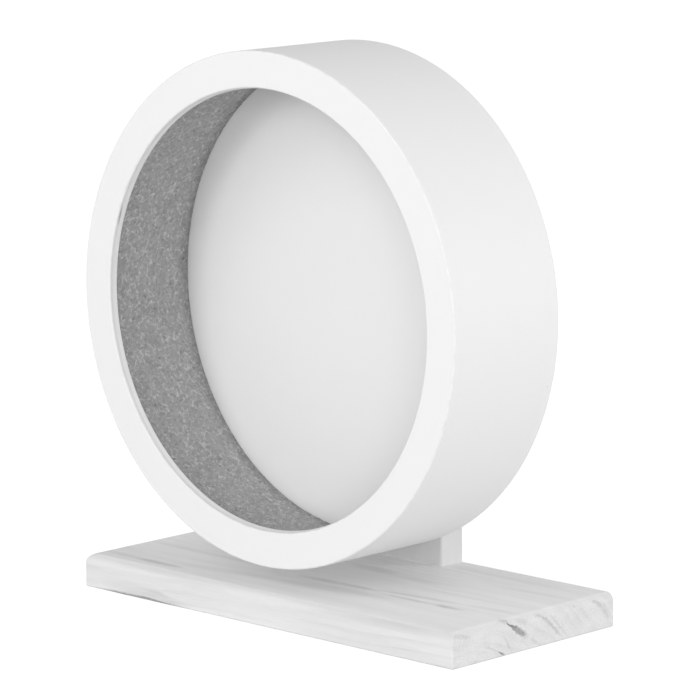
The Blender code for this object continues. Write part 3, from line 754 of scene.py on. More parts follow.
@dataclass(frozen=True)
class Metal(Finish):
    """A metal with a fine grain, tool marks round the axle and a slightly uneven polish."""

    name: str
    colour: Place
    roughness: float
    roughness_reach: float
    grain_size: float
    grain_depth: float
    mark_size: float
    mark_share: float
    stain_size: float = 0.007
    stain_share: float = 0.06

    def patterns(self, graph: Graph, place: Socket) -> Inputs:
        """Adds the grain, the tool marks and the stains.

        Args:
            graph: The material's graph.
            place: The place on the object.

        Returns:
            What goes into the shader, by the name of its input.
        """
        grain = graph.cloud(place, self.grain_size, FINE_DETAIL)
        stain = graph.cloud(place, self.stain_size, FINE_DETAIL)
        parts = graph.parts(graph.add("ShaderNodeMapping", {"Vector": place, "Location": tuple(-AXLE)}))
        flat = graph.add("ShaderNodeCombineXYZ", {"X": parts["X"], "Y": parts["Z"]})
        radius = graph.vector("LENGTH", flat, output="Value")
        turns = graph.add("ShaderNodeCombineXYZ", {"X": radius, "Y": parts["Y"]})
        marks = graph.cloud(turns, self.mark_size)
        return {
            "Base Color": graph.scaled(self.colour, graph.spread(stain, 1.0, self.stain_share)),
            "Roughness": graph.maths(
                "ADD", graph.spread(stain, self.roughness, self.roughness_reach),
                graph.spread(marks, 0.0, self.roughness_reach)),
            "Normal": graph.relief(graph.summed(grain, (marks, self.mark_share)), self.grain_depth),
            "Metallic": 1.0,
        }


@dataclass(frozen=True)
class Nylon(Finish):
    """Natural nylon: milky, slightly see-through and faintly clouded."""

    name: str = "nylon"
    tone: float = 0.76
    cloud_size: float = 0.002
    cloud_share: float = 0.03
    depth: float = 0.00001
    glow_radius: float = 0.0008
    glow_share: float = 0.35
    roughness: float = 0.38
    roughness_reach: float = 0.0475

    def patterns(self, graph: Graph, place: Socket) -> Inputs:
        """Adds the clouds, and the glow of light that goes in.

        Args:
            graph: The material's graph.
            place: The place on the object.

        Returns:
            What goes into the shader, by the name of its input.
        """
        cloud = graph.cloud(place, self.cloud_size, FINE_DETAIL)
        return {
            "Base Color": graph.spread(cloud, self.tone, self.tone * self.cloud_share),
            "Roughness": graph.spread(cloud, self.roughness, self.roughness_reach),
            "Normal": graph.relief(cloud, self.depth),
            "Subsurface Weight": self.glow_share,
            "Subsurface Scale": self.glow_radius,
        }


# A gap between the plies in the ring's bore, and a speck on the disc.
PAINT_MARKS = (
    round_the_axle("front_ring", 0.1198, (0.0013, 156.5), (0.0021, 162.4), 0.0013, 0.42),
    round_the_axle("back_disc", 0.0437, (0.0, 6.7), (0.0, 7.1), 0.0007, 0.22),
)
FINISHES = {
    Slot.WHITE_PAINT: WhitePaint(marks=PAINT_MARKS),
    Slot.CORK_MAT: CorkMat(),
    Slot.PINE: Pine(marks=BASE_MARKS),
    Slot.ZINC_CASTING: Metal(
        "zinc_casting", (0.55, 0.56, 0.57), 0.52, 0.06, 0.0007, 0.00003, 0.0009, 0.3),
    Slot.BEARING_STEEL: Metal(
        "bearing_steel", (0.62, 0.63, 0.64), 0.20, 0.04, 0.0002, 0.000003, 0.00018, 1.2),
    Slot.ZINC_PLATED: Metal(
        "zinc_plated", (0.60, 0.61, 0.62), 0.30, 0.06, 0.0005, 0.000008, 0.0003, 0.8),
    Slot.NYLON: Nylon(),
}
UPRIGHT_PINE = Pine(
    name="pine_upright", grain=Grain.UPRIGHT, tone=0.70, pith=(0.210, 0.040), pith_slope=-0.02,
    ring_contrast_share=0.025, fibre_share=0.010, band_share=0.012, side_shade_share=0.0)


class Recipe:
    """A Geometry Nodes tree with named inputs, which is run on a piece and baked."""

    def __init__(self, name: str, inputs: dict[str, str]) -> None:
        """Starts the tree.

        Args:
            name: The tree's name.
            inputs: The kind of each named input, such as Float.
        """
        self.tree = bpy.data.node_groups.new(name, "GeometryNodeTree")
        self.sockets = {}
        for label, kind in {**inputs, "Material": "Material"}.items():
            socket = self.tree.interface.new_socket(
                label, in_out="INPUT", socket_type="NodeSocket" + kind)
            self.sockets[label] = socket.identifier
        self.tree.interface.new_socket(
            "Geometry", in_out="OUTPUT", socket_type="NodeSocketGeometry")
        self.graph = Graph(self.tree)
        self.start = self.graph.node("NodeGroupInput").outputs

    def end(self, geometry: Socket) -> None:
        """Ends the tree: copies are made real, and all takes its finish.

        Args:
            geometry: The finished geometry.
        """
        real = self.graph.add("GeometryNodeRealizeInstances", {"Geometry": geometry})
        inputs = {"Geometry": real, "Material": self.start["Material"]}
        self.graph.node("NodeGroupOutput", {0: self.graph.add("GeometryNodeSetMaterial", inputs)})

    def run(self, piece: Piece, values: Inputs) -> None:
        """Runs the tree on a piece and keeps the result as its plain mesh.

        Args:
            piece: The object that takes the mesh.
            values: A value for each named input.
        """
        modifier = piece.modifiers.new(self.tree.name, "NODES")
        modifier.node_group = self.tree
        for label, value in values.items():
            modifier[self.sockets[label]] = value
        bake(piece)


class TurnedRecipe(Recipe):
    """Sweeps a closed section round a circle, as a lathe would leave it."""

    def __init__(self) -> None:
        """Builds the tree."""
        super().__init__("turned_piece", {
            "Section": "Object",
            "Path Radius": "Float",
            "Around": "Int",
            "Tilt": "Float",
            "Centre": "Vector",
        })
        graph, start = self.graph, self.start
        inputs = {"Resolution": start["Around"], "Radius": start["Path Radius"]}
        path = graph.add("GeometryNodeCurvePrimitiveCircle", inputs)
        path = graph.add("GeometryNodeSetCurveNormal", {"Curve": path}, mode="Z_UP")
        section = graph.add("GeometryNodeObjectInfo", {"Object": start["Section"]}, "Geometry")
        shape = graph.add("GeometryNodeCurveToMesh", {"Curve": path, "Profile Curve": section})
        turn = graph.add("ShaderNodeCombineXYZ", {"X": start["Tilt"]})
        inputs = {"Geometry": shape, "Translation": start["Centre"], "Rotation": turn}
        self.end(graph.add("GeometryNodeTransform", inputs))


class CopiesRecipe(Recipe):
    """Sets copies of a piece evenly round the axle, each turned to face it."""

    def __init__(self) -> None:
        """Builds the tree."""
        super().__init__("copies_round_the_axle", {
            "Piece": "Object",
            "Count": "Int",
            "Pitch Radius": "Float",
            "Start Angle": "Float",
            "Own Turn": "Float",
            "Seed": "Int",
            "Centre": "Vector",
        })
        graph, start = self.graph, self.start
        inputs = {"Vertices": start["Count"], "Radius": start["Pitch Radius"]}
        ring = graph.add("GeometryNodeMeshCircle", inputs)
        first = graph.add("ShaderNodeCombineXYZ", {"Z": start["Start Angle"]})
        for turn in (first, (QUARTER_TURN, 0.0, 0.0)):
            ring = graph.add("GeometryNodeTransform", {"Geometry": ring, "Rotation": turn})
        parts = graph.parts(graph.add("GeometryNodeInputPosition"))
        angle = graph.maths("ARCTAN2", parts["Z"], parts["X"])
        chance = graph.add("FunctionNodeRandomValue", {"Seed": start["Seed"]}, 1, data_type="FLOAT")
        inputs = {
            "Rotation": graph.about_y(graph.maths("MULTIPLY", angle, -1.0)),
            "Rotate By": graph.about_y(graph.maths("MULTIPLY", chance, start["Own Turn"])),
        }
        facing = graph.add("FunctionNodeRotateRotation", inputs, rotation_space="LOCAL")
        piece = graph.add("GeometryNodeObjectInfo", {"Object": start["Piece"]}, "Geometry")
        inputs = {"Points": ring, "Instance": piece, "Rotation": facing}
        copies = graph.add("GeometryNodeInstanceOnPoints", inputs)
        inputs = {"Geometry": copies, "Translation": start["Centre"]}
        self.end(graph.add("GeometryNodeTransform", inputs))


class ReliefRecipe(Recipe):
    """Moves the surface of a piece that lies round the axle."""

    def __init__(self, name: str, inputs: dict[str, str]) -> None:
        """Starts the tree and reads where a point lies.

        Args:
            name: The tree's name.
            inputs: The kind of each named input, besides the geometry and the axle's height.
        """
        super().__init__(name, {"Geometry": "Geometry", **inputs, "Axle Height": "Float"})
        self.place = self.graph.add("GeometryNodeInputPosition")
        self.parts = self.graph.parts(self.place)
        self.up = self.graph.maths("SUBTRACT", self.parts["Z"], self.start["Axle Height"])
        self.outward = self.graph.add("ShaderNodeCombineXYZ", {"X": self.parts["X"], "Z": self.up})

    def move(self, direction: Socket, reach: Socket) -> None:
        """Ends the tree with the surface moved along a direction."""
        inputs = {"Geometry": self.start["Geometry"], "Offset": self.graph.scaled(direction, reach)}
        self.end(self.graph.add("GeometryNodeSetPosition", inputs))


class GranulesRecipe(ReliefRecipe):
    """Raises the granules of the cork on the side of the mat that faces the axle."""

    def __init__(self) -> None:
        """Builds the tree."""
        super().__init__("cork_granules", {
            "Granule Size": "Float",
            "Relief": "Float",
            "Glued Radius": "Float",
        })
        graph, start = self.graph, self.start
        radius = graph.vector("LENGTH", self.outward, output="Value")
        free = graph.maths("LESS_THAN", radius, start["Glued Radius"])
        inputs = {"Vector": self.place, "Scale": graph.maths("DIVIDE", 1.0, start["Granule Size"])}
        bumps = graph.add("ShaderNodeTexNoise", {**inputs, "Detail": 1.0, "Distortion": BUMP_TWIST}, "Fac")
        edges = graph.add("ShaderNodeTexVoronoi", inputs, "Distance", feature="DISTANCE_TO_EDGE")
        rise = graph.maths("ADD", bumps, graph.step(edges, *BUMP_EDGE_RANGE))
        rise = graph.maths("MULTIPLY", graph.maths("SUBTRACT", rise, 1.0), start["Relief"])
        self.move(graph.add("GeometryNodeInputNormal"), graph.maths("MULTIPLY", rise, free))


class ThreadRecipe(ReliefRecipe):
    """Presses a screw thread into the side of a rod that lies along the axle."""

    def __init__(self) -> None:
        """Builds the tree."""
        super().__init__("screw_thread", {
            "Start": "Float",
            "Pitch": "Float",
            "Depth": "Float",
        })
        graph, start = self.graph, self.start
        angle = graph.maths("DIVIDE", graph.maths("ARCTAN2", self.up, self.parts["X"]), FULL_TURN)
        along = graph.maths("SUBTRACT", self.parts["Y"], start["Start"])
        turns = graph.maths("DIVIDE", along, start["Pitch"])
        phase = graph.maths("FRACT", graph.maths("ADD", turns, angle))
        tooth = graph.maths("ABSOLUTE", graph.maths("MULTIPLY_ADD", phase, 2.0, -1.0))
        tooth = graph.maths("MULTIPLY", tooth, THREAD_STEEPNESS, clamp=True)
        fade = graph.maths("MULTIPLY", turns, 1.0, clamp=True)
        rise = graph.maths("MULTIPLY", graph.maths("SUBTRACT", tooth, 1.0), fade)
        self.move(graph.vector("NORMALIZE", self.outward), graph.maths("MULTIPLY", rise, start["Depth"]))


def bake(piece: Piece) -> None:
    """Turns a piece and its modifiers into a plain mesh.

    Args:
        piece: The object whose modifiers are applied.
    """
    depsgraph = bpy.context.evaluated_depsgraph_get()
    mesh = bpy.data.meshes.new_from_object(piece.evaluated_get(depsgraph))
    piece.modifiers.clear()
    piece.data = mesh


def new_object(name: str, data: bpy.types.ID) -> Piece:
    """Adds an object with its mesh, curve, lamp or camera to the scene.

    Args:
        name: Its name.
        data: Its data.

    Returns:
        The object.
    """
    item = bpy.data.objects.new(name, data)
    bpy.context.scene.collection.objects.link(item)
    return item


def mesh_object(name: str, shape: Solid) -> Piece:
    """Turns a bmesh, which is used up, into an object with its faces pointing outwards.

    Args:
        name: The object's name.
        shape: The shape.

    Returns:
        The object.
    """
    bmesh.ops.recalc_face_normals(shape, faces=shape.faces)
    mesh = bpy.data.meshes.new(name)
    shape.to_mesh(mesh)
    shape.free()
    return new_object(name, mesh)


def move(shape: Solid, place: Vector, turn: Matrix) -> None:
    """Turns a shape and then sets it at a place."""
    bmesh.ops.transform(shape, matrix=Matrix.Translation(place) @ turn, verts=shape.verts)


def clean(piece: Piece) -> None:
    """Merges poles, drops stray edges and points the faces outwards.

    Args:
        piece: The object whose mesh is cleaned.
    """
    shape = bmesh.new()
    shape.from_mesh(piece.data)
    bmesh.ops.remove_doubles(shape, verts=shape.verts, dist=MERGE_DISTANCE)
    bmesh.ops.dissolve_degenerate(shape, edges=shape.edges, dist=MERGE_DISTANCE)
    bmesh.ops.delete(shape, geom=[edge for edge in shape.edges if edge.is_wire], context="EDGES")
    bmesh.ops.delete(shape, geom=[vert for vert in shape.verts if not vert.link_faces], context="VERTS")
    bmesh.ops.recalc_face_normals(shape, faces=shape.faces)
    shape.to_mesh(piece.data)
    shape.free()


def mark_arrises(piece: Piece) -> None:
    """Stores where a painted piece's edges are, as the attribute arris, for the paint to wear.

    Args:
        piece: The object whose mesh is marked.
    """
    shape = bmesh.new()
    shape.from_mesh(piece.data)
    layer = shape.verts.layers.float.new("arris")
    for vert in shape.verts:
        bent = any(edge.calc_face_angle(0.0) > ARRIS_ANGLE for edge in vert.link_edges)
        beside = [edge.calc_length() for face in vert.link_faces for edge in face.edges]
        vert[layer] = 1.0 if bent and max(beside) < ARRIS_FACE_LIMIT else 0.0
    shape.to_mesh(piece.data)
    shape.free()


def slab(inner: float, outer: float, front: float, back: float, *easings: float) -> list[Corner]:
    """The section of a plain ring, from its inner front corner round to its inner back one."""
    places = ((inner, front), (outer, front), (outer, back), (inner, back))
    return [(*place, easing) for place, easing in zip(places, easings or (0.0,) * len(places))]


def rounded(corners: list[Corner], steps: int = CORNER_STEPS) -> list[Vector]:
    """Rounds the corners of an outline, with a support point on the flat at each side of an arc.

    Args:
        corners: Each corner as (across, along, radius). Without a radius it stays sharp.
        steps: How many steps each arc has.

    Returns:
        The outline's points.
    """
    points: list[Vector] = []
    for index, corner in enumerate(corners):
        across, along, radius = (*corner, 0.0)[:3]
        here = Vector((across, along))
        if radius == 0.0:
            points.append(here)
            continue
        inward = (Vector(corners[index - 1][:2]) - here).normalized()
        onward = (Vector(corners[(index + 1) % len(corners)][:2]) - here).normalized()
        half_angle = inward.angle(onward) / 2
        reach = radius / math.tan(half_angle)
        centre = here + (inward + onward).normalized() * (radius / math.sin(half_angle))
        start = here + inward * reach - centre
        sweep = start.angle_signed(here + onward * reach - centre)
        arc = [centre + Matrix.Rotation(-sweep * step / steps, 2) @ start for step in range(steps + 1)]
        support = min(SUPPORT, radius / 2)
        points.extend((arc[0] + inward * support, *arc, arc[-1] + onward * support))
    return points


def divided(points: list[Vector], stretch: tuple[Point, Point], spacing: float) -> list[Vector]:
    """Adds points along one straight side of an outline.

    Args:
        points: The outline.
        stretch: The two ends of the side, both points of the outline and next to each other.
        spacing: The largest distance between points.

    Returns:
        The outline with the side divided.
    """
    first, last = (Vector(end) for end in stretch)
    result: list[Vector] = []
    for index, point in enumerate(points):
        result.append(point)
        after = points[(index + 1) % len(points)]
        if (point - first).length < MERGE_DISTANCE and (after - last).length < MERGE_DISTANCE:
            count = math.ceil((last - first).length / spacing)
            result.extend(point.lerp(after, step / count) for step in range(1, count))
    return result


def stacked(outlines: list[list[Vector]], heights: list[float],
            order: tuple[int, int, int] = (0, 1, 2)) -> Solid:
    """Joins outlines of equally many points, one above the other, into a closed solid.

    Args:
        outlines: The outlines, from one end of the solid to the other.
        heights: The height of each.
        order: Which of a point's first part, its second part and its height go along X, Y and Z.

    Returns:
        The solid.
    """
    shape = bmesh.new()
    loops = []
    for outline, height in zip(outlines, heights):
        places = [(*point, height) for point in outline]
        loops.append([shape.verts.new([place[part] for part in order]) for place in places])
    shape.faces.new(loops[0])
    shape.faces.new(loops[-1])
    for lower, upper in zip(loops, loops[1:]):
        for index in range(len(lower)):
            shape.faces.new((lower[index - 1], lower[index], upper[index], upper[index - 1]))
    return shape


def hexagonal(radius: float, front: float, back: float) -> Solid:
    """A hexagonal bar along the axle.

    Args:
        radius: The radius of its corners.
        front: Where it starts.
        back: Where it ends.

    Returns:
        The bar.
    """
    turns = [FULL_TURN * side / HEXAGON_SIDES for side in range(HEXAGON_SIDES)]
    outline = [Vector((radius * math.cos(turn), radius * math.sin(turn))) for turn in turns]
    shape = stacked([outline, outline], [front, back])
    move(shape, AXLE, Matrix.Rotation(-QUARTER_TURN, 4, "X"))
    return shape


def cross_cutter(place: Vector, reach: float, width: float, depth: float) -> Solid:
    """The cutter for a cross recess, which runs from a place along -Y and narrows to its bottom.

    Args:
        place: The middle of the recess, on the face of the head.
        reach: Half its length across.
        width: The width of each slot.
        depth: How deep it is.

    Returns:
        The cutter.
    """
    quarter = [Vector((reach, -width / 2)), Vector((reach, width / 2)), Vector((width / 2, width / 2))]
    corners = [Matrix.Rotation(turn * QUARTER_TURN, 2) @ corner for turn in range(4) for corner in quarter]
    levels = ((OVERRUN, 1.0), (0.0, 1.0), (-depth, RECESS_END_SHARE))
    outlines = [[place.xz + corner * share for corner in corners] for _, share in levels]
    return stacked(outlines, [place.y + height for height, _ in levels], ALONG_Y)


class Workshop:
    """Holds the finishes and the recipes, makes shapes with them and hands pieces over."""

    def __init__(self) -> None:
        """Builds the materials and the Geometry Nodes trees."""
        self.materials = {slot: finish.material() for slot, finish in FINISHES.items()}
        self.upright_pine = UPRIGHT_PINE.material()
        self.turning = TurnedRecipe()
        self.copying = CopiesRecipe()
        self.granules = GranulesRecipe()
        self.threading = ThreadRecipe()

    def turned(self, name: str, section: list[Corner], slot: Slot, around: int = SMALL_SEGMENTS,
               centre: Vector = AXLE, tilt: float = QUARTER_TURN) -> Piece:
        """Turns a closed section into a shape.

        Args:
            name: The shape's name.
            section: Its corners as (radius, along, easing). Without an easing a corner is sharp.
            slot: Its finish.
            around: How many steps it has round its axis.
            centre: Where its axis starts.
            tilt: A quarter turn lays its axis along Y, and a half turn along Z.

        Returns:
            The shape.
        """
        points = rounded(section)
        path_radius = max(point.x for point in points)
        curve = bpy.data.curves.new(name + "_section", "CURVE")
        spline = curve.splines.new("POLY")
        spline.points.add(len(points) - 1)
        for place, point in zip(spline.points, points):
            place.co = (point.x - path_radius, point.y, 0, 1)
        spline.use_cyclic_u = True
        guide = new_object(curve.name, curve)
        piece = new_object(name, bpy.data.meshes.new(name))
        self.turning.run(piece, {
            "Section": guide,
            "Path Radius": path_radius,
            "Around": around,
            "Tilt": tilt,
            "Centre": centre,
            "Material": self.materials[slot],
        })
        bpy.data.objects.remove(guide)
        clean(piece)
        return piece

    def turn_piece(self, name: str, section: list[Corner], body: Body, slot: Slot, node: str,
                   around: int = SMALL_SEGMENTS) -> None:
        """Turns a section into a finished piece that stands for one node."""
        self.hand_over(self.turned(name, section, slot, around), body, slot, node)

    def copied(self, name: str, pattern: Piece, count: int, pitch_radius: float, slot: Slot,
               start_angle: float = 0.0, own_turn: float = 0.0) -> Piece:
        """Sets copies of a shape round the axle and uses the shape up.

        Args:
            name: The new shape's name.
            pattern: The shape, round the origin.
            count: How many copies there are.
            pitch_radius: How far they are from the axle.
            slot: Their finish.
            start_angle: The angle of the first.
            own_turn: The most that each is turned about its own axis, at random.

        Returns:
            The new shape.
        """
        piece = new_object(name, bpy.data.meshes.new(name))
        self.copying.run(piece, {
            "Piece": pattern,
            "Count": count,
            "Pitch Radius": pitch_radius,
            "Start Angle": start_angle,
            "Own Turn": own_turn,
            "Seed": count,
            "Centre": AXLE,
            "Material": self.materials[slot],
        })
        bpy.data.objects.remove(pattern)
        return piece

    def at_hub_screws(self, name: str, pattern: Piece, slot: Slot, own_turn: float = 0.0) -> Piece:
        """Sets a copy of a shape at each of the hub's screws."""
        return self.copied(name, pattern, HUB_SCREWS, off_the_axle("housing_screw_1"), slot,
                           HALF_TURN / HUB_SCREWS, own_turn)

    def drill(self, piece: Piece, radius: float, front: float, back: float) -> None:
        """Drills a round hole along the axle."""
        section = slab(0.0, radius, front, back)
        self.combine(piece, self.turned("drill", section, Slot.PINE, SCREW_SEGMENTS), Cut.AWAY)

    def drill_for_screws(self, piece: Piece, radius: float, front: float, back: float) -> None:
        """Drills a round hole for each of the hub's screws.

        Args:
            piece: The shape that is drilled.
            radius: The radius of the holes.
            front: Where they start.
            back: Where they end.
        """
        section = slab(0.0, radius, front, back)
        drill = self.turned("drill", section, Slot.PINE, SCREW_SEGMENTS, Vector())
        self.combine(piece, self.at_hub_screws("drills", drill, Slot.PINE), Cut.AWAY)

    @staticmethod
    def combine(piece: Piece, tool: Piece, how: Cut) -> None:
        """Cuts a shape with another, or joins the two, and uses the other up.

        Args:
            piece: The shape that is kept.
            tool: The shape that works on it.
            how: What is done.
        """
        boolean = piece.modifiers.new(how.name, "BOOLEAN")
        boolean.operation = how.value
        boolean.solver = "EXACT"
        boolean.object = tool
        bake(piece)
        bpy.data.objects.remove(tool)

    def hand_over(self, piece: Piece, body: Body, slot: Slot, *nodes: str,
                  material: bpy.types.Material | None = None) -> None:
        """Finishes a piece and sets it in the frame.

        Args:
            piece: The piece.
            body: The body that it rides on.
            slot: Its slot in the record, which also gives its finish.
            nodes: The CAD nodes that it stands for.
            material: A finish of its own, where the slot's doesn't suit it.
        """
        piece.data.materials.clear()
        piece.data.materials.append(material or self.materials[slot])
        piece.data.polygons.foreach_set("material_index", [0] * len(piece.data.polygons))
        if slot is Slot.WHITE_PAINT:
            mark_arrises(piece)
        piece.data.shade_smooth()
        piece.data.set_sharp_from_angle(angle=SHARP_ANGLE)
        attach(piece, body.value)
        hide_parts(*nodes)
        LOG.info("%s: %d faces, rides on %s", piece.name, len(piece.data.polygons), body.value)


@dataclass
class Drum:
    """The white drum: the ring at its mouth, the wall, the cork mat inside and the disc."""

    shop: Workshop
    ring: Turned = measured("front_ring")
    wall: Turned = measured("drum_wall")
    mat: Turned = measured("running_mat")
    disc: Turned = measured("back_disc")
    easing: float = 0.0010
    # The ring is two plies. The bore of the ply behind narrows a little.
    bore_lean: float = 0.00060
    bore_easing: float = 0.0002
    # The painted joint between ring and wall shows as a hairline.
    joint_easing: float = 0.00008
    glue_gap: float = 0.00005
    mat_easing: float = 0.0003
    mat_back_easing: float = 0.0008
    mat_spacing: float = 0.0010
    mat_around: int = 880
    granule_size: float = 0.0019
    granule_relief: float = 0.00022
    seam_width: float = 0.0005
    seam_angle: float = math.radians(-35)
    pilot_radius: float = 0.00165
    pilot_depth: float = 0.0068

    def __post_init__(self) -> None:
        """Works out where the ring meets the wall, and how far out the mat and the disc reach."""
        self.joint = (self.ring.back + self.wall.front) / 2
        self.glued = self.wall.inner - self.glue_gap

    def make_ring(self) -> None:
        """The flat ring, its edges eased by sanding."""
        section = [
            (self.ring.inner, self.ring.front, self.easing),
            (self.ring.outer, self.ring.front, self.easing),
            (self.ring.outer, self.joint, self.joint_easing),
            (self.ring.inner - self.bore_lean, self.joint, self.bore_easing),
            (self.ring.inner, self.ring.middle, self.bore_easing),
        ]
        self.shop.turn_piece(
            "ring_at_the_mouth", section, Body.WHEEL, Slot.WHITE_PAINT, "front_ring", LARGE_SEGMENTS)

    def make_wall(self) -> None:
        """The bent strip, closed against the ring in front and eased at the back."""
        section = slab(self.wall.inner, self.wall.outer, self.joint, self.wall.back,
                       0.0, self.joint_easing, self.easing, self.easing / 2)
        self.shop.turn_piece(
            "bent_wall", section, Body.WHEEL, Slot.WHITE_PAINT, "drum_wall", LARGE_SEGMENTS)

    def make_mat(self) -> None:
        """The cork strip, glued to the wall, with raised granules and a seam."""
        inner, front, back = self.mat.inner, self.ring.back, self.disc.front - self.glue_gap
        corners = slab(inner, self.glued, front, back, self.mat_easing, 0.0, 0.0, self.mat_back_easing)
        section = rounded(corners, CORNER_STEPS // 2)
        section = divided(section, (section[-1], section[0]), self.mat_spacing)
        piece = self.shop.turned("cork_running_mat", section, Slot.CORK_MAT, self.mat_around)
        seam = bmesh.new()
        bmesh.ops.create_cube(seam, size=1.0)
        sizes = (self.glued - inner + 2 * OVERRUN, back - front + 2 * OVERRUN, self.seam_width, 1.0)
        place = Matrix.Translation(((inner + self.glued) / 2, (front + back) / 2, 0))
        move(seam, AXLE, Matrix.Rotation(-self.seam_angle, 4, "Y") @ place @ Matrix.Diagonal(sizes))
        self.shop.combine(piece, mesh_object("seam_gap", seam), Cut.AWAY)
        self.shop.granules.run(piece, {
            "Granule Size": self.granule_size,
            "Relief": self.granule_relief,
            "Glued Radius": inner + self.mat_easing,
            "Axle Height": AXLE_HEIGHT,
            "Material": self.shop.materials[Slot.CORK_MAT],
        })
        self.shop.hand_over(piece, Body.WHEEL, Slot.CORK_MAT, "running_mat")

    def make_disc(self) -> None:
        """The disc that closes the drum, with pilot holes for the hub's screws."""
        front, back = self.disc.front, self.disc.back
        section = slab(0.0, self.glued, front, back, 0.0, 0.0, self.easing / 2, 0.0)
        piece = self.shop.turned("smooth_back_disc", section, Slot.WHITE_PAINT, LARGE_SEGMENTS)
        self.shop.drill_for_screws(piece, self.pilot_radius, back - self.pilot_depth, back + OVERRUN)
        self.shop.hand_over(piece, Body.WHEEL, Slot.WHITE_PAINT, "back_disc")

    def build(self) -> None:
        """Makes every piece of the drum."""
        self.make_ring()
        self.make_wall()
        self.make_mat()
        self.make_disc()


@dataclass
class Hub:
    """The cast hub on the back of the disc, which holds both bearings, and its four screws."""

    shop: Workshop
    housing: Turned = measured("bearing_housing")
    front_race: Turned = measured("front_outer_race")
    rear_race: Turned = measured("rear_outer_race")
    disc: Turned = measured("back_disc")
    seat_gap: float = 0.00008
    boss_wall: float = 0.00405
    flange_thickness: float = 0.003
    flange_easing: float = 0.0009
    fillet: float = 0.0022
    boss_easing: float = 0.0009
    bore_easing: float = 0.0004
    screw_radius: float = 0.00160
    hole_radius: float = 0.00190
    head_radius: float = 0.0032
    head_height: float = 0.0021
    head_under_easing: float = 0.00035
    head_easing: float = 0.00147
    point_length: float = 0.0025
    recess_reach: float = 0.0017
    recess_width: float = 0.0008
    recess_depth: float = 0.0012

    def __post_init__(self) -> None:
        """Works out where the flange ends and the screws' heads sit."""
        self.seat = self.housing.front + self.flange_thickness

    def make_housing(self) -> None:
        """The flange and the boss, with a shoulder between the two bearing seats."""
        bore = self.front_race.outer + self.seat_gap
        boss = self.front_race.outer + self.boss_wall
        front, back = self.disc.back, self.housing.back
        shoulder_front = self.front_race.back + self.seat_gap
        shoulder_back = self.rear_race.front - self.seat_gap
        piece = self.shop.turned("cast_hub", [
            (bore, front, self.bore_easing),
            (self.housing.outer, front),
            (self.housing.outer, self.seat, self.flange_easing),
            (boss, self.seat, self.fillet),
            (boss, back, self.boss_easing),
            (bore, back, self.bore_easing),
            (bore, shoulder_back),
            (self.housing.inner, shoulder_back, self.bore_easing / 2),
            (self.housing.inner, shoulder_front, self.bore_easing / 2),
            (bore, shoulder_front),
        ], Slot.ZINC_CASTING, 2 * SMALL_SEGMENTS)
        self.shop.drill_for_screws(piece, self.hole_radius, front - OVERRUN, self.seat + OVERRUN)
        self.shop.hand_over(piece, Body.WHEEL, Slot.ZINC_CASTING, "bearing_housing")

    def make_screws(self) -> None:
        """The four pan-head screws, each turned as far as it went."""
        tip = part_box("housing_screw_1")[0].y
        top = self.seat + self.head_height
        screw = self.shop.turned("screw", [
            (0.0, tip),
            (self.screw_radius, tip + self.point_length),
            (self.screw_radius, self.seat),
            (self.head_radius, self.seat, self.head_under_easing),
            (self.head_radius, top, self.head_easing),
            (0.0, top),
        ], Slot.ZINC_PLATED, SCREW_SEGMENTS, Vector())
        cutter = cross_cutter(Vector((0, top, 0)), self.recess_reach, self.recess_width, self.recess_depth)
        self.shop.combine(screw, mesh_object("recess", cutter), Cut.AWAY)
        piece = self.shop.at_hub_screws("hub_screws", screw, Slot.ZINC_PLATED, FULL_TURN)
        nodes = [f"housing_screw_{number}" for number in range(1, HUB_SCREWS + 1)]
        self.shop.hand_over(piece, Body.WHEEL, Slot.ZINC_PLATED, *nodes)

    def build(self) -> None:
        """Makes the hub and its screws."""
        self.make_housing()
        self.make_screws()


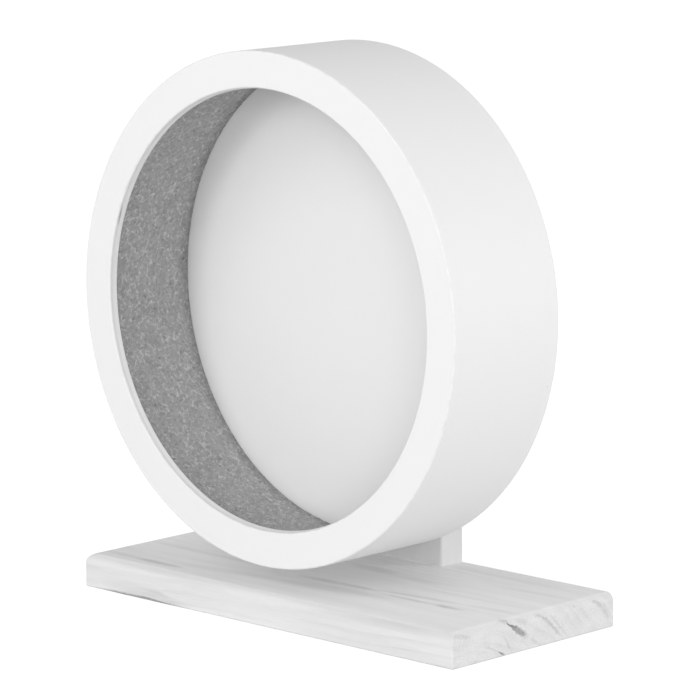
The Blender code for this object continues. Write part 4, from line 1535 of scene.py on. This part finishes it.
@dataclass
class Bearing:
    """One shielded ball bearing, 8 mm bore, 22 mm outside and 7 mm wide."""

    shop: Workshop
    side: str
    cage_body: Body
    ball_count: int = 7
    race_easing: float = 0.0003
    shoulder: float = 0.0007
    running_gap: float = 0.00004
    shield_thickness: float = 0.00035
    shield_inset: float = 0.0003
    shield_gap: float = 0.0003
    shield_step: float = 0.00012
    cage_thickness: float = 0.0011
    pocket_gap: float = 0.00012
    cage_web: float = 0.0002
    cage_easing: float = 0.00022
    groove_steps: int = 10
    ball_rings: int = 20

    def __post_init__(self) -> None:
        """Reads the bearing's places from the frame."""
        self.outer = Turned.of(self.side + "_outer_race")
        self.inner = Turned.of(self.side + "_inner_race")
        low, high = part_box(self.side + "_ball_1")
        self.ball_radius = (high.x - low.x) / 2
        self.pitch_radius = off_the_axle(self.side + "_ball_1")
        self.outer_land = self.pitch_radius + self.ball_radius - self.shoulder
        self.inner_land = self.pitch_radius - self.ball_radius + self.shoulder

    def turn_part(self, name: str, section: list[Corner], body: Body, node: str) -> None:
        """Turns a steel part of this bearing, whose two names are given without the side."""
        self.shop.turn_piece(f"{self.side}_{name}", section, body, Slot.BEARING_STEEL, f"{self.side}_{node}")

    def groove(self, side: int, land: float) -> list[Corner]:
        """The arc of a race's ball groove.

        Args:
            side: 1 outside the balls and -1 inside them.
            land: The radius of the land beside the groove.

        Returns:
            The groove's points, front to back.
        """
        ball = self.ball_radius + self.running_gap
        half_angle = math.acos(abs(land - self.pitch_radius) / ball)
        angles = [half_angle * (2 * step / self.groove_steps - 1) for step in range(self.groove_steps + 1)]
        return [(self.pitch_radius + side * ball * math.cos(angle),
                 self.outer.middle + ball * math.sin(angle)) for angle in angles]

    def make_races(self) -> None:
        """The inner ring, clamped on the bolt, and the outer one with a seat for each shield."""
        self.turn_part("inner_ring", [
            (self.inner.inner, self.inner.front, self.race_easing),
            (self.inner_land, self.inner.front, self.race_easing),
            *self.groove(-1, self.inner_land),
            (self.inner_land, self.inner.back, self.race_easing),
            (self.inner.inner, self.inner.back, self.race_easing),
        ], Body.STAND, "inner_race")
        seat = self.pitch_radius + self.ball_radius + self.running_gap
        deep = self.shield_inset + self.shield_thickness
        front, back = self.outer.front, self.outer.back
        self.turn_part("outer_ring", [
            (self.outer.outer, back, self.race_easing),
            (seat, back),
            (seat, back - deep),
            (self.outer_land, back - deep),
            *reversed(self.groove(1, self.outer_land)),
            (self.outer_land, front + deep),
            (seat, front + deep),
            (seat, front),
            (self.outer.outer, front, self.race_easing),
        ], Body.WHEEL, "outer_race")

    def make_shields(self) -> None:
        """The two pressed shields, each dished slightly towards the balls."""
        inner = self.inner_land + self.shield_gap
        outer = self.pitch_radius + self.ball_radius
        bend = (inner + outer) / 2
        sides = {
            "front": (self.outer.front + self.shield_inset, 1),
            "back": (self.outer.back - self.shield_inset, -1),
        }
        for end, (face, inward) in sides.items():
            dish = inward * self.shield_step
            places = [
                (inner, dish), (bend - self.shield_step, dish), (bend + self.shield_step, 0.0), (outer, 0.0)]
            section = [(across, face + along) for across, along in places]
            thickness = inward * self.shield_thickness
            section += [(across, along + thickness) for across, along in reversed(section)]
            self.turn_part(end + "_dust_shield", section, Body.WHEEL, "shield_" + end)

    def make_cage(self) -> None:
        """The ring that keeps the balls apart, with a round pocket for each."""
        pocket = self.ball_radius + self.pocket_gap
        half = pocket + self.cage_web
        middle = self.outer.middle
        thin = self.cage_thickness / 2
        corners = slab(self.pitch_radius - thin, self.pitch_radius + thin, middle - half, middle + half,
                       *[self.cage_easing] * 4)
        piece = self.shop.turned(
            self.side + "_cage", rounded(corners, CORNER_STEPS // 2), Slot.BEARING_STEEL,
            2 * SMALL_SEGMENTS)
        drill = bmesh.new()
        bmesh.ops.create_cone(
            drill, cap_ends=True, segments=SCREW_SEGMENTS // 2, radius1=pocket, radius2=pocket,
            depth=2 * self.cage_thickness)
        move(drill, Vector((0, middle, 0)), Matrix.Rotation(QUARTER_TURN, 4, "Y"))
        drills = self.shop.copied("pockets", mesh_object("pocket", drill), self.ball_count,
                                  self.pitch_radius, Slot.BEARING_STEEL)
        self.shop.combine(piece, drills, Cut.AWAY)
        self.shop.hand_over(piece, self.cage_body, Slot.BEARING_STEEL, self.side + "_ball_cage")

    def make_balls(self) -> None:
        """The balls, as one piece with a sphere for each."""
        ball = bmesh.new()
        bmesh.ops.create_uvsphere(
            ball, u_segments=2 * self.ball_rings, v_segments=self.ball_rings, radius=self.ball_radius)
        bmesh.ops.translate(ball, vec=(0, self.outer.middle, 0), verts=ball.verts)
        piece = self.shop.copied(self.side + "_balls_in_cage", mesh_object("ball", ball),
                                 self.ball_count, self.pitch_radius, Slot.BEARING_STEEL)
        nodes = [f"{self.side}_ball_{number}" for number in range(1, self.ball_count + 1)]
        self.shop.hand_over(piece, self.cage_body, Slot.BEARING_STEEL, *nodes)

    def build(self) -> None:
        """Makes every piece of the bearing."""
        self.make_races()
        self.make_shields()
        self.make_cage()
        self.make_balls()


@dataclass
class AxleSet:
    """The bolt through hub and upright, and the spacers, washer and lock nut on it."""

    shop: Workshop
    bolt: Turned = measured("axle_bolt")
    washer: Turned = measured("rear_washer")
    nut: Turned = measured("lock_nut")
    insert: Turned = measured("nut_insert")
    head_height: float = 0.0044
    head_easing: float = 0.0026
    shank_radius: float = 0.0037
    tip_chamfer: float = 0.0008
    socket_radius: float = 0.0028
    socket_depth: float = 0.0026
    thread_pitch: float = 0.00125
    thread_depth: float = 0.00055
    thread_rows_per_turn: int = 10
    spacer_easing: float = 0.0003
    washer_easing: float = 0.0004
    nut_hex_height: float = 0.0060
    nut_collar_radius: float = 0.0060
    nut_chamfer: float = 0.0009
    nut_bore_easing: float = 0.0004
    insert_wall: float = 0.00115
    insert_grip: float = 0.0001375
    lip: float = 0.0004

    def make_bolt(self) -> None:
        """The button-head bolt, threaded at its end, with a hexagon socket in its head."""
        front, back = self.bolt.front, self.bolt.back
        thread = ((self.shank_radius, self.washer.front), (self.shank_radius, back - self.tip_chamfer))
        section = rounded([
            (0.0, front),
            (self.bolt.outer, front, self.head_easing),
            (self.bolt.outer, front + self.head_height, self.spacer_easing),
            (self.shank_radius, front + self.head_height),
            *thread,
            (self.shank_radius - self.tip_chamfer, back),
            (0.0, back),
        ])
        section = divided(section, thread, self.thread_pitch / self.thread_rows_per_turn)
        piece = self.shop.turned("threaded_axle_bolt", section, Slot.ZINC_PLATED)
        self.shop.threading.run(piece, {
            "Start": self.washer.front,
            "Pitch": self.thread_pitch,
            "Depth": self.thread_depth,
            "Axle Height": AXLE_HEIGHT,
            "Material": self.shop.materials[Slot.ZINC_PLATED],
        })
        socket = hexagonal(self.socket_radius, front - OVERRUN, front + self.socket_depth)
        self.shop.combine(piece, mesh_object("socket", socket), Cut.AWAY)
        self.shop.hand_over(piece, Body.STAND, Slot.ZINC_PLATED, "axle_bolt")

    def make_sleeves(self) -> None:
        """The two spacers and the wide washer."""
        sleeves = {
            "race_spacer": ("sleeve_between_races", self.spacer_easing),
            "upright_spacer": ("sleeve_at_upright", self.spacer_easing),
            "rear_washer": ("wide_washer", self.washer_easing),
        }
        for node, (name, easing) in sleeves.items():
            size = Turned.of(node)
            section = slab(
                size.inner, size.outer, size.front, size.back, easing / 2, easing, easing, easing / 2)
            self.shop.turn_piece(name, section, Body.STAND, Slot.ZINC_PLATED, node)

    def make_nut(self) -> None:
        """The hexagon nut with a round collar and chamfered corners."""
        front, back = self.nut.front, self.nut.back
        collar_front = front + self.nut_hex_height
        piece = mesh_object("hexagon_lock_nut", hexagonal(self.nut.outer, front, collar_front))
        flat = self.nut.outer * math.cos(HALF_TURN / HEXAGON_SIDES) - self.nut_chamfer / 2
        seat = self.nut.inner + self.insert_wall
        mouth = self.nut.inner + self.nut_bore_easing
        tools = {
            Cut.COMMON: (2 * SMALL_SEGMENTS, [
                (0.0, front - OVERRUN),
                (flat, front - OVERRUN),
                (flat, front),
                (self.nut.outer, front + self.nut_chamfer),
                (self.nut.outer, collar_front - self.nut_chamfer),
                (flat, collar_front),
                (flat, collar_front + OVERRUN),
                (0.0, collar_front + OVERRUN),
            ]),
            Cut.ON: (SMALL_SEGMENTS, slab(
                0.0, self.nut_collar_radius, collar_front - OVERRUN, back,
                0.0, 0.0, self.nut_chamfer, 0.0)),
            Cut.AWAY: (SMALL_SEGMENTS, [
                (0.0, front - OVERRUN),
                (mouth, front - OVERRUN),
                (mouth, front),
                (self.nut.inner, front + self.nut_bore_easing),
                (self.nut.inner, self.insert.front),
                (seat, self.insert.front),
                (seat, back - self.lip),
                (seat - self.lip, back + OVERRUN),
                (0.0, back + OVERRUN),
            ]),
        }
        for how, (around, section) in tools.items():
            self.shop.combine(piece, self.shop.turned("tool", section, Slot.ZINC_PLATED, around), how)
        self.shop.hand_over(piece, Body.STAND, Slot.ZINC_PLATED, "lock_nut")

    def make_insert(self) -> None:
        """The nylon ring in the nut, which grips the thread."""
        section = slab(
            self.shank_radius - self.insert_grip, self.nut.inner + self.insert_wall,
            self.insert.front, self.insert.back, 0.0, 0.0, 0.0, self.nut_bore_easing)
        self.shop.turn_piece("nylon_ring", section, Body.STAND, Slot.NYLON, "nut_insert")

    def build(self) -> None:
        """Makes every piece on the axle."""
        self.make_bolt()
        self.make_sleeves()
        self.make_nut()
        self.make_insert()


@dataclass(frozen=True)
class Check:
    """A drying check in the end of the base: a thin split that follows a growth ring."""

    start: Point
    end: Point
    width: float
    depth: float


@dataclass
class Stand:
    """The pine base, the upright that carries the axle, and the two screws between them."""

    shop: Workshop
    base_round_over: float = 0.005
    # The upright stands on the flat, so the back edge is only eased.
    base_back_easing: float = 0.001
    base_corner: float = 0.0007
    base_top_corner: float = 0.003
    under_easing: float = 0.0006
    round_steps: int = 10
    side_spacing: float = 0.006
    sanding_reach: float = 0.00012
    sanding_size: float = 0.022
    upright_easing: float = 0.0015
    upright_arc_steps: int = 64
    bolt_hole_radius: float = 0.0042
    screw_head_radius: float = 0.004
    screw_head_height: float = 0.0023
    screw_radius: float = 0.002
    screw_clearance: float = 0.0003
    screw_point: float = 0.004
    recess_reach: float = 0.0021
    recess_width: float = 0.0010
    recess_depth: float = 0.0016
    checks: tuple[Check, ...] = (
        Check((-0.0245, 0.0188), (-0.0027, 0.0054), 0.0056, 0.0020),
        Check((-0.0302, 0.0038), (-0.0222, -0.0004), 0.0017, 0.0015),
    )
    # A check's width at even steps along it, above and below its middle line.
    check_upper_shares: tuple[float, ...] = (
        0.05, 0.22, 0.16, 0.46, 0.40, 0.90, 0.60, 1.00, 0.66, 0.98, 0.52, 0.60, 0.06)
    check_lower_shares: tuple[float, ...] = (
        0.05, 0.12, 0.28, 0.22, 0.66, 0.50, 0.98, 0.62, 0.94, 0.56, 0.84, 0.36, 0.06)
    # How large a check's outline still is at its bottom.
    check_bottom_share: float = 0.6

    def __post_init__(self) -> None:
        """Reads the boards' places from the frame."""
        self.base_low, self.base_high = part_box("base_board")
        self.upright_low, self.upright_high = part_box("upright_board")

    def base_outline(self, height: float, inset: float, back_inset: float, corner: float) -> list[Vector]:
        """The base's outline at one height, faintly uneven from sanding.

        Args:
            height: Its height, which shifts the unevenness.
            inset: How far it lies inside the board's front and ends.
            back_inset: How far it lies inside the board's back.
            corner: The radius of its front corners.

        Returns:
            The outline's points.
        """
        size = self.base_high - self.base_low
        left, right = self.base_low.x + inset, self.base_high.x - inset
        near, far = self.base_low.y + inset, self.base_high.y - back_inset
        arcs = rounded([
            (left, near, corner),
            (right, near, corner),
            (right, far, self.base_corner),
            (left, far, self.base_corner),
        ])
        outward = [Vector((0, -1)), Vector((1, 0)), Vector((0, 1)), Vector((-1, 0))]
        per_corner = len(arcs) // len(outward)
        outline = []
        for number, away in enumerate(outward):
            arc = arcs[number * per_corner:(number + 1) * per_corner]
            after = arcs[(number + 1) * per_corner % len(arcs)]
            count = round((size.y if away.x else size.x) / self.side_spacing)
            outline.extend((point, away + outward[number - 1]) for point in arc)
            outline.extend((arc[-1].lerp(after, step / count), away) for step in range(1, count))
        uneven = []
        for point, away in outline:
            place = Vector((*point, height)) / self.sanding_size
            uneven.append(point + away * self.sanding_reach * (noise.noise(place) - 1) / 2)
        return uneven

    def base_levels(self) -> list[tuple[float, float, float, float]]:
        """Steps up the base from its underside to its top.

        Returns:
            Each level as (height, inset, back inset, corner radius), lowest first.
        """
        top = self.base_high.z
        ease = self.under_easing
        corner = self.base_corner
        levels = [
            (0.0, ease + SUPPORT, ease + SUPPORT, corner),
            (0.0, ease, ease, corner),
            (ease, 0.0, 0.0, corner),
            (ease + SUPPORT, 0.0, 0.0, corner),
            (top - self.base_round_over - SUPPORT, 0.0, 0.0, corner),
        ]
        for step in range(self.round_steps + 1):
            below_top = self.base_round_over * (1 - math.sin(QUARTER_TURN * step / self.round_steps))
            inset, back_inset = (
                radius - math.sqrt(radius ** 2 - max(radius - below_top, 0) ** 2)
                for radius in (self.base_round_over, self.base_back_easing))
            share = inset / self.base_round_over
            corner = self.base_corner + (self.base_top_corner - self.base_corner) * share
            levels.append((top - below_top, inset, back_inset, corner))
        levels.append((top, inset + SUPPORT, back_inset + SUPPORT, corner))
        return levels

    def check_cutter(self, check: Check) -> Piece:
        """The wedge that cuts one drying check into the right end of the base.

        Args:
            check: The check.

        Returns:
            The cutter.
        """
        start, end = Vector(check.start), Vector(check.end)
        across = (end - start).normalized().orthogonal() * check.width / 2
        last = len(self.check_upper_shares) - 1
        places = [start.lerp(end, number / last) for number in range(last + 1)]
        upper = [place + across * share for place, share in zip(places, self.check_upper_shares)]
        lower = [place - across * share for place, share in zip(places, self.check_lower_shares)]
        outline = upper + lower[::-1]
        bottom = [((start + end) / 2).lerp(point, self.check_bottom_share) for point in outline]
        depths = [self.base_high.x + OVERRUN, self.base_high.x - check.depth]
        return mesh_object("check", stacked([outline, bottom], depths, (2, 0, 1)))

    def screws(self, name: str, slot: Slot, clearance: float = 0.0, sunk: float = 0.0) -> list[Piece]:
        """Turns the shape of each base screw, or of its hole.

        Args:
            name: The shapes' name.
            slot: Their finish.
            clearance: How much larger a hole is all round, or 0 for a screw.
            sunk: How far a hole reaches past the head's face.

        Returns:
            The shapes.
        """
        head, shank = self.screw_head_radius + clearance, self.screw_radius + clearance
        shapes = []
        for node in BASE_SCREWS:
            low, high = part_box(node)
            bottom = low.z - sunk
            shapes.append(self.shop.turned(name, [
                (0.0, bottom),
                (head, bottom),
                (head, bottom + clearance + OVERRUN),
                (shank, bottom + self.screw_head_height + clearance),
                (shank, high.z - self.screw_point),
                (0.0, high.z),
            ], slot, SCREW_SEGMENTS, Vector((*((low + high) / 2).xy, 0)), HALF_TURN))
        return shapes

    def make_base(self) -> None:
        """The base board, rounded over on top, with its drying checks and screw holes."""
        levels = self.base_levels()
        outlines = [self.base_outline(*level) for level in levels]
        piece = mesh_object("pine_base", stacked(outlines, [level[0] for level in levels]))
        cutters = [self.check_cutter(check) for check in self.checks]
        for cutter in cutters + self.screws("hole", Slot.PINE, self.screw_clearance, 2 * OVERRUN):
            self.shop.combine(piece, cutter, Cut.AWAY)
        self.shop.hand_over(piece, Body.STAND, Slot.PINE, "base_board")

    def upright_outline(self, inset: float) -> list[Vector]:
        """The upright's outline seen from the front, as (X, Z).

        Args:
            inset: How far it lies inside the board's sides.

        Returns:
            The outline's points.
        """
        radius = (self.upright_high.x - self.upright_low.x) / 2 - inset
        centre = self.upright_high.z - inset - radius
        foot = self.base_high.z
        angles = [HALF_TURN * step / self.upright_arc_steps for step in range(self.upright_arc_steps + 1)]
        arc = [Vector((radius * math.cos(angle), centre + radius * math.sin(angle))) for angle in angles]
        return [Vector((-radius, foot)), Vector((radius, foot)), *arc]

    def make_upright(self) -> None:
        """The upright, round at the top, with a hole for the bolt and pilots for the screws."""
        front, back = self.upright_low.y, self.upright_high.y
        ease = self.upright_easing
        levels = [(front, ease + SUPPORT)]
        for step in range(CORNER_STEPS + 1):
            angle = QUARTER_TURN * step / CORNER_STEPS
            levels.append((front + ease * (1 - math.cos(angle)), ease * (1 - math.sin(angle))))
        levels.append((front + ease + SUPPORT, 0.0))
        levels.extend([(front + back - place, inset) for place, inset in reversed(levels)])
        outlines = [self.upright_outline(inset) for _, inset in levels]
        piece = mesh_object("pine_upright", stacked(outlines, [place for place, _ in levels], ALONG_Y))
        self.shop.drill(piece, self.bolt_hole_radius, front - OVERRUN, back + OVERRUN)
        for pilot in self.screws("pilot", Slot.PINE):
            self.shop.combine(piece, pilot, Cut.AWAY)
        self.shop.hand_over(
            piece, Body.STAND, Slot.PINE, "upright_board", material=self.shop.upright_pine)

    def make_screws(self) -> None:
        """The two countersunk screws, driven from beneath, with a cross recess in each."""
        pair = bmesh.new()
        for node, screw in zip(BASE_SCREWS, self.screws("screw", Slot.ZINC_PLATED)):
            low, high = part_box(node)
            head = Vector((*((low + high) / 2).xy, low.z))
            cutter = cross_cutter(Vector(), self.recess_reach, self.recess_width, self.recess_depth)
            move(cutter, head, Matrix.Rotation(-QUARTER_TURN, 4, "X"))
            self.shop.combine(screw, mesh_object("recess", cutter), Cut.AWAY)
            pair.from_mesh(screw.data)
            bpy.data.objects.remove(screw)
        self.shop.hand_over(
            mesh_object("base_screws", pair), Body.STAND, Slot.ZINC_PLATED, *BASE_SCREWS)

    def build(self) -> None:
        """Makes every piece of the stand."""
        self.make_base()
        self.make_upright()
        self.make_screws()


@dataclass(frozen=True)
class Lamp:
    """A soft square lamp, placed round the object as a view is: azimuth 0 is in front of it.

    The level is the share of full light that it gives a white surface square to it.
    """

    name: str
    azimuth: float
    elevation: float
    distance: float
    size: float
    level: float

    def build(self, target: Vector) -> None:
        """Adds the lamp.

        Args:
            target: The point that it faces.
        """
        turn, rise = math.radians(self.azimuth), math.radians(self.elevation)
        away = Vector((
            math.sin(turn) * math.cos(rise), -math.cos(turn) * math.cos(rise), math.sin(rise)))
        light = bpy.data.lights.new(self.name, "AREA")
        light.size = self.size
        light.energy = self.level * (math.pi * self.distance) ** 2
        lamp = new_object(self.name, light)
        lamp.location = target + away * self.distance
        lamp.rotation_euler = away.to_track_quat("Z", "Y").to_euler()


@dataclass(frozen=True)
class Studio:
    """The pale floor, the white world, the lamps and the camera."""

    camera_place: Place = (1.4909, -1.5366, 0.5152)
    camera_turn: float = math.radians(44.019)
    camera_pitch: float = math.radians(80.158)
    camera_roll: float = math.radians(-0.349)
    camera_lens: float = 204.0
    camera_sensor: float = 36.0
    camera_far: float = 48.0
    floor_reach: float = 12.0
    floor_drop: float = 0.0002
    floor_tone: float = 0.80
    floor_seen_tone: float = 0.45
    floor_seen_glow: float = 0.80
    world_level: float = 0.50
    lamps: tuple[Lamp, ...] = (
        Lamp("front_low", 3.0, 9.0, 4.5, 1.2, 0.215),
        Lamp("front_right_low", 45.0, 9.0, 4.5, 1.2, 0.220),
        Lamp("behind_right_low", 125.0, 9.0, 4.5, 1.2, 0.32),
        Lamp("front_high", 0.0, 32.0, 4.5, 2.4, 0.15),
    )

    def build_camera(self) -> None:
        """Adds the camera at the photograph's viewing angle."""
        data = bpy.data.cameras.new("camera")
        data.lens = self.camera_lens
        data.sensor_width = self.camera_sensor
        data.clip_end = self.camera_far
        camera = new_object("camera", data)
        turn = Matrix.Rotation(self.camera_turn, 4, "Z")
        pitch = Matrix.Rotation(self.camera_pitch, 4, "X")
        roll = Matrix.Rotation(self.camera_roll, 4, "Z")
        camera.matrix_world = Matrix.Translation(self.camera_place) @ turn @ pitch @ roll
        bpy.context.scene.camera = camera

    def build_floor(self) -> None:
        """Adds the floor, which looks white but keeps the object's shadow."""
        shape = bmesh.new()
        bmesh.ops.create_grid(shape, x_segments=1, y_segments=1, size=self.floor_reach)
        bmesh.ops.translate(shape, vec=(0, 0, -self.floor_drop), verts=shape.verts)
        floor = mesh_object("floor", shape)
        material = bpy.data.materials.new("floor")
        material.use_nodes = True
        graph = Graph(material.node_tree)
        graph.tree.nodes.clear()
        plain, seen = (
            graph.add("ShaderNodeBsdfDiffuse", {"Color": (tone, tone, tone, 1.0)})
            for tone in (self.floor_tone, self.floor_seen_tone))
        glow = graph.add("ShaderNodeEmission", {"Strength": self.floor_seen_glow})
        seen = graph.add("ShaderNodeAddShader", {0: seen, 1: glow})
        surface = graph.add("ShaderNodeMixShader", {0: self.seen_directly(graph), 1: plain, 2: seen})
        graph.node("ShaderNodeOutputMaterial", {"Surface": surface})
        floor.data.materials.append(material)

    @staticmethod
    def seen_directly(graph: Graph) -> Socket:
        """Tells the rays of the camera, of a gloss and of a glass from diffuse light.

        Args:
            graph: The graph that it is added to.

        Returns:
            1 for those rays and 0 for diffuse light.
        """
        path = graph.node("ShaderNodeLightPath").outputs
        seen = graph.maths("ADD", path["Is Camera Ray"], path["Is Glossy Ray"])
        return graph.maths("ADD", seen, path["Is Transmission Ray"], clamp=True)

    def build_world(self) -> None:
        """Adds the world: white where it is seen and softer where it lights."""
        world = bpy.data.worlds.new("studio")
        world.use_nodes = True
        graph = Graph(world.node_tree)
        graph.tree.nodes.clear()
        level = graph.summed(self.world_level, (self.seen_directly(graph), 1.0 - self.world_level))
        light = graph.add("ShaderNodeBackground", {"Color": (1.0, 1.0, 1.0, 1.0), "Strength": level})
        graph.node("ShaderNodeOutputWorld", {"Surface": light})
        bpy.context.scene.world = world

    def build(self) -> None:
        """Adds everything round the object."""
        self.build_camera()
        self.build_floor()
        self.build_world()
        for lamp in self.lamps:
            lamp.build(AXLE)
        bpy.context.scene.view_settings.view_transform = "Standard"


def main() -> None:
    """Builds the studio and every piece of the wheel."""
    logging.basicConfig(level=logging.INFO, format="%(name)s: %(message)s")
    Studio().build()
    shop = Workshop()
    bearings = (Bearing(shop, "front", Body.FRONT_BALLS), Bearing(shop, "rear", Body.REAR_BALLS))
    for assembly in (Drum(shop), Hub(shop), *bearings, AxleSet(shop), Stand(shop)):
        assembly.build()


if __name__ == "__main__":
    main()
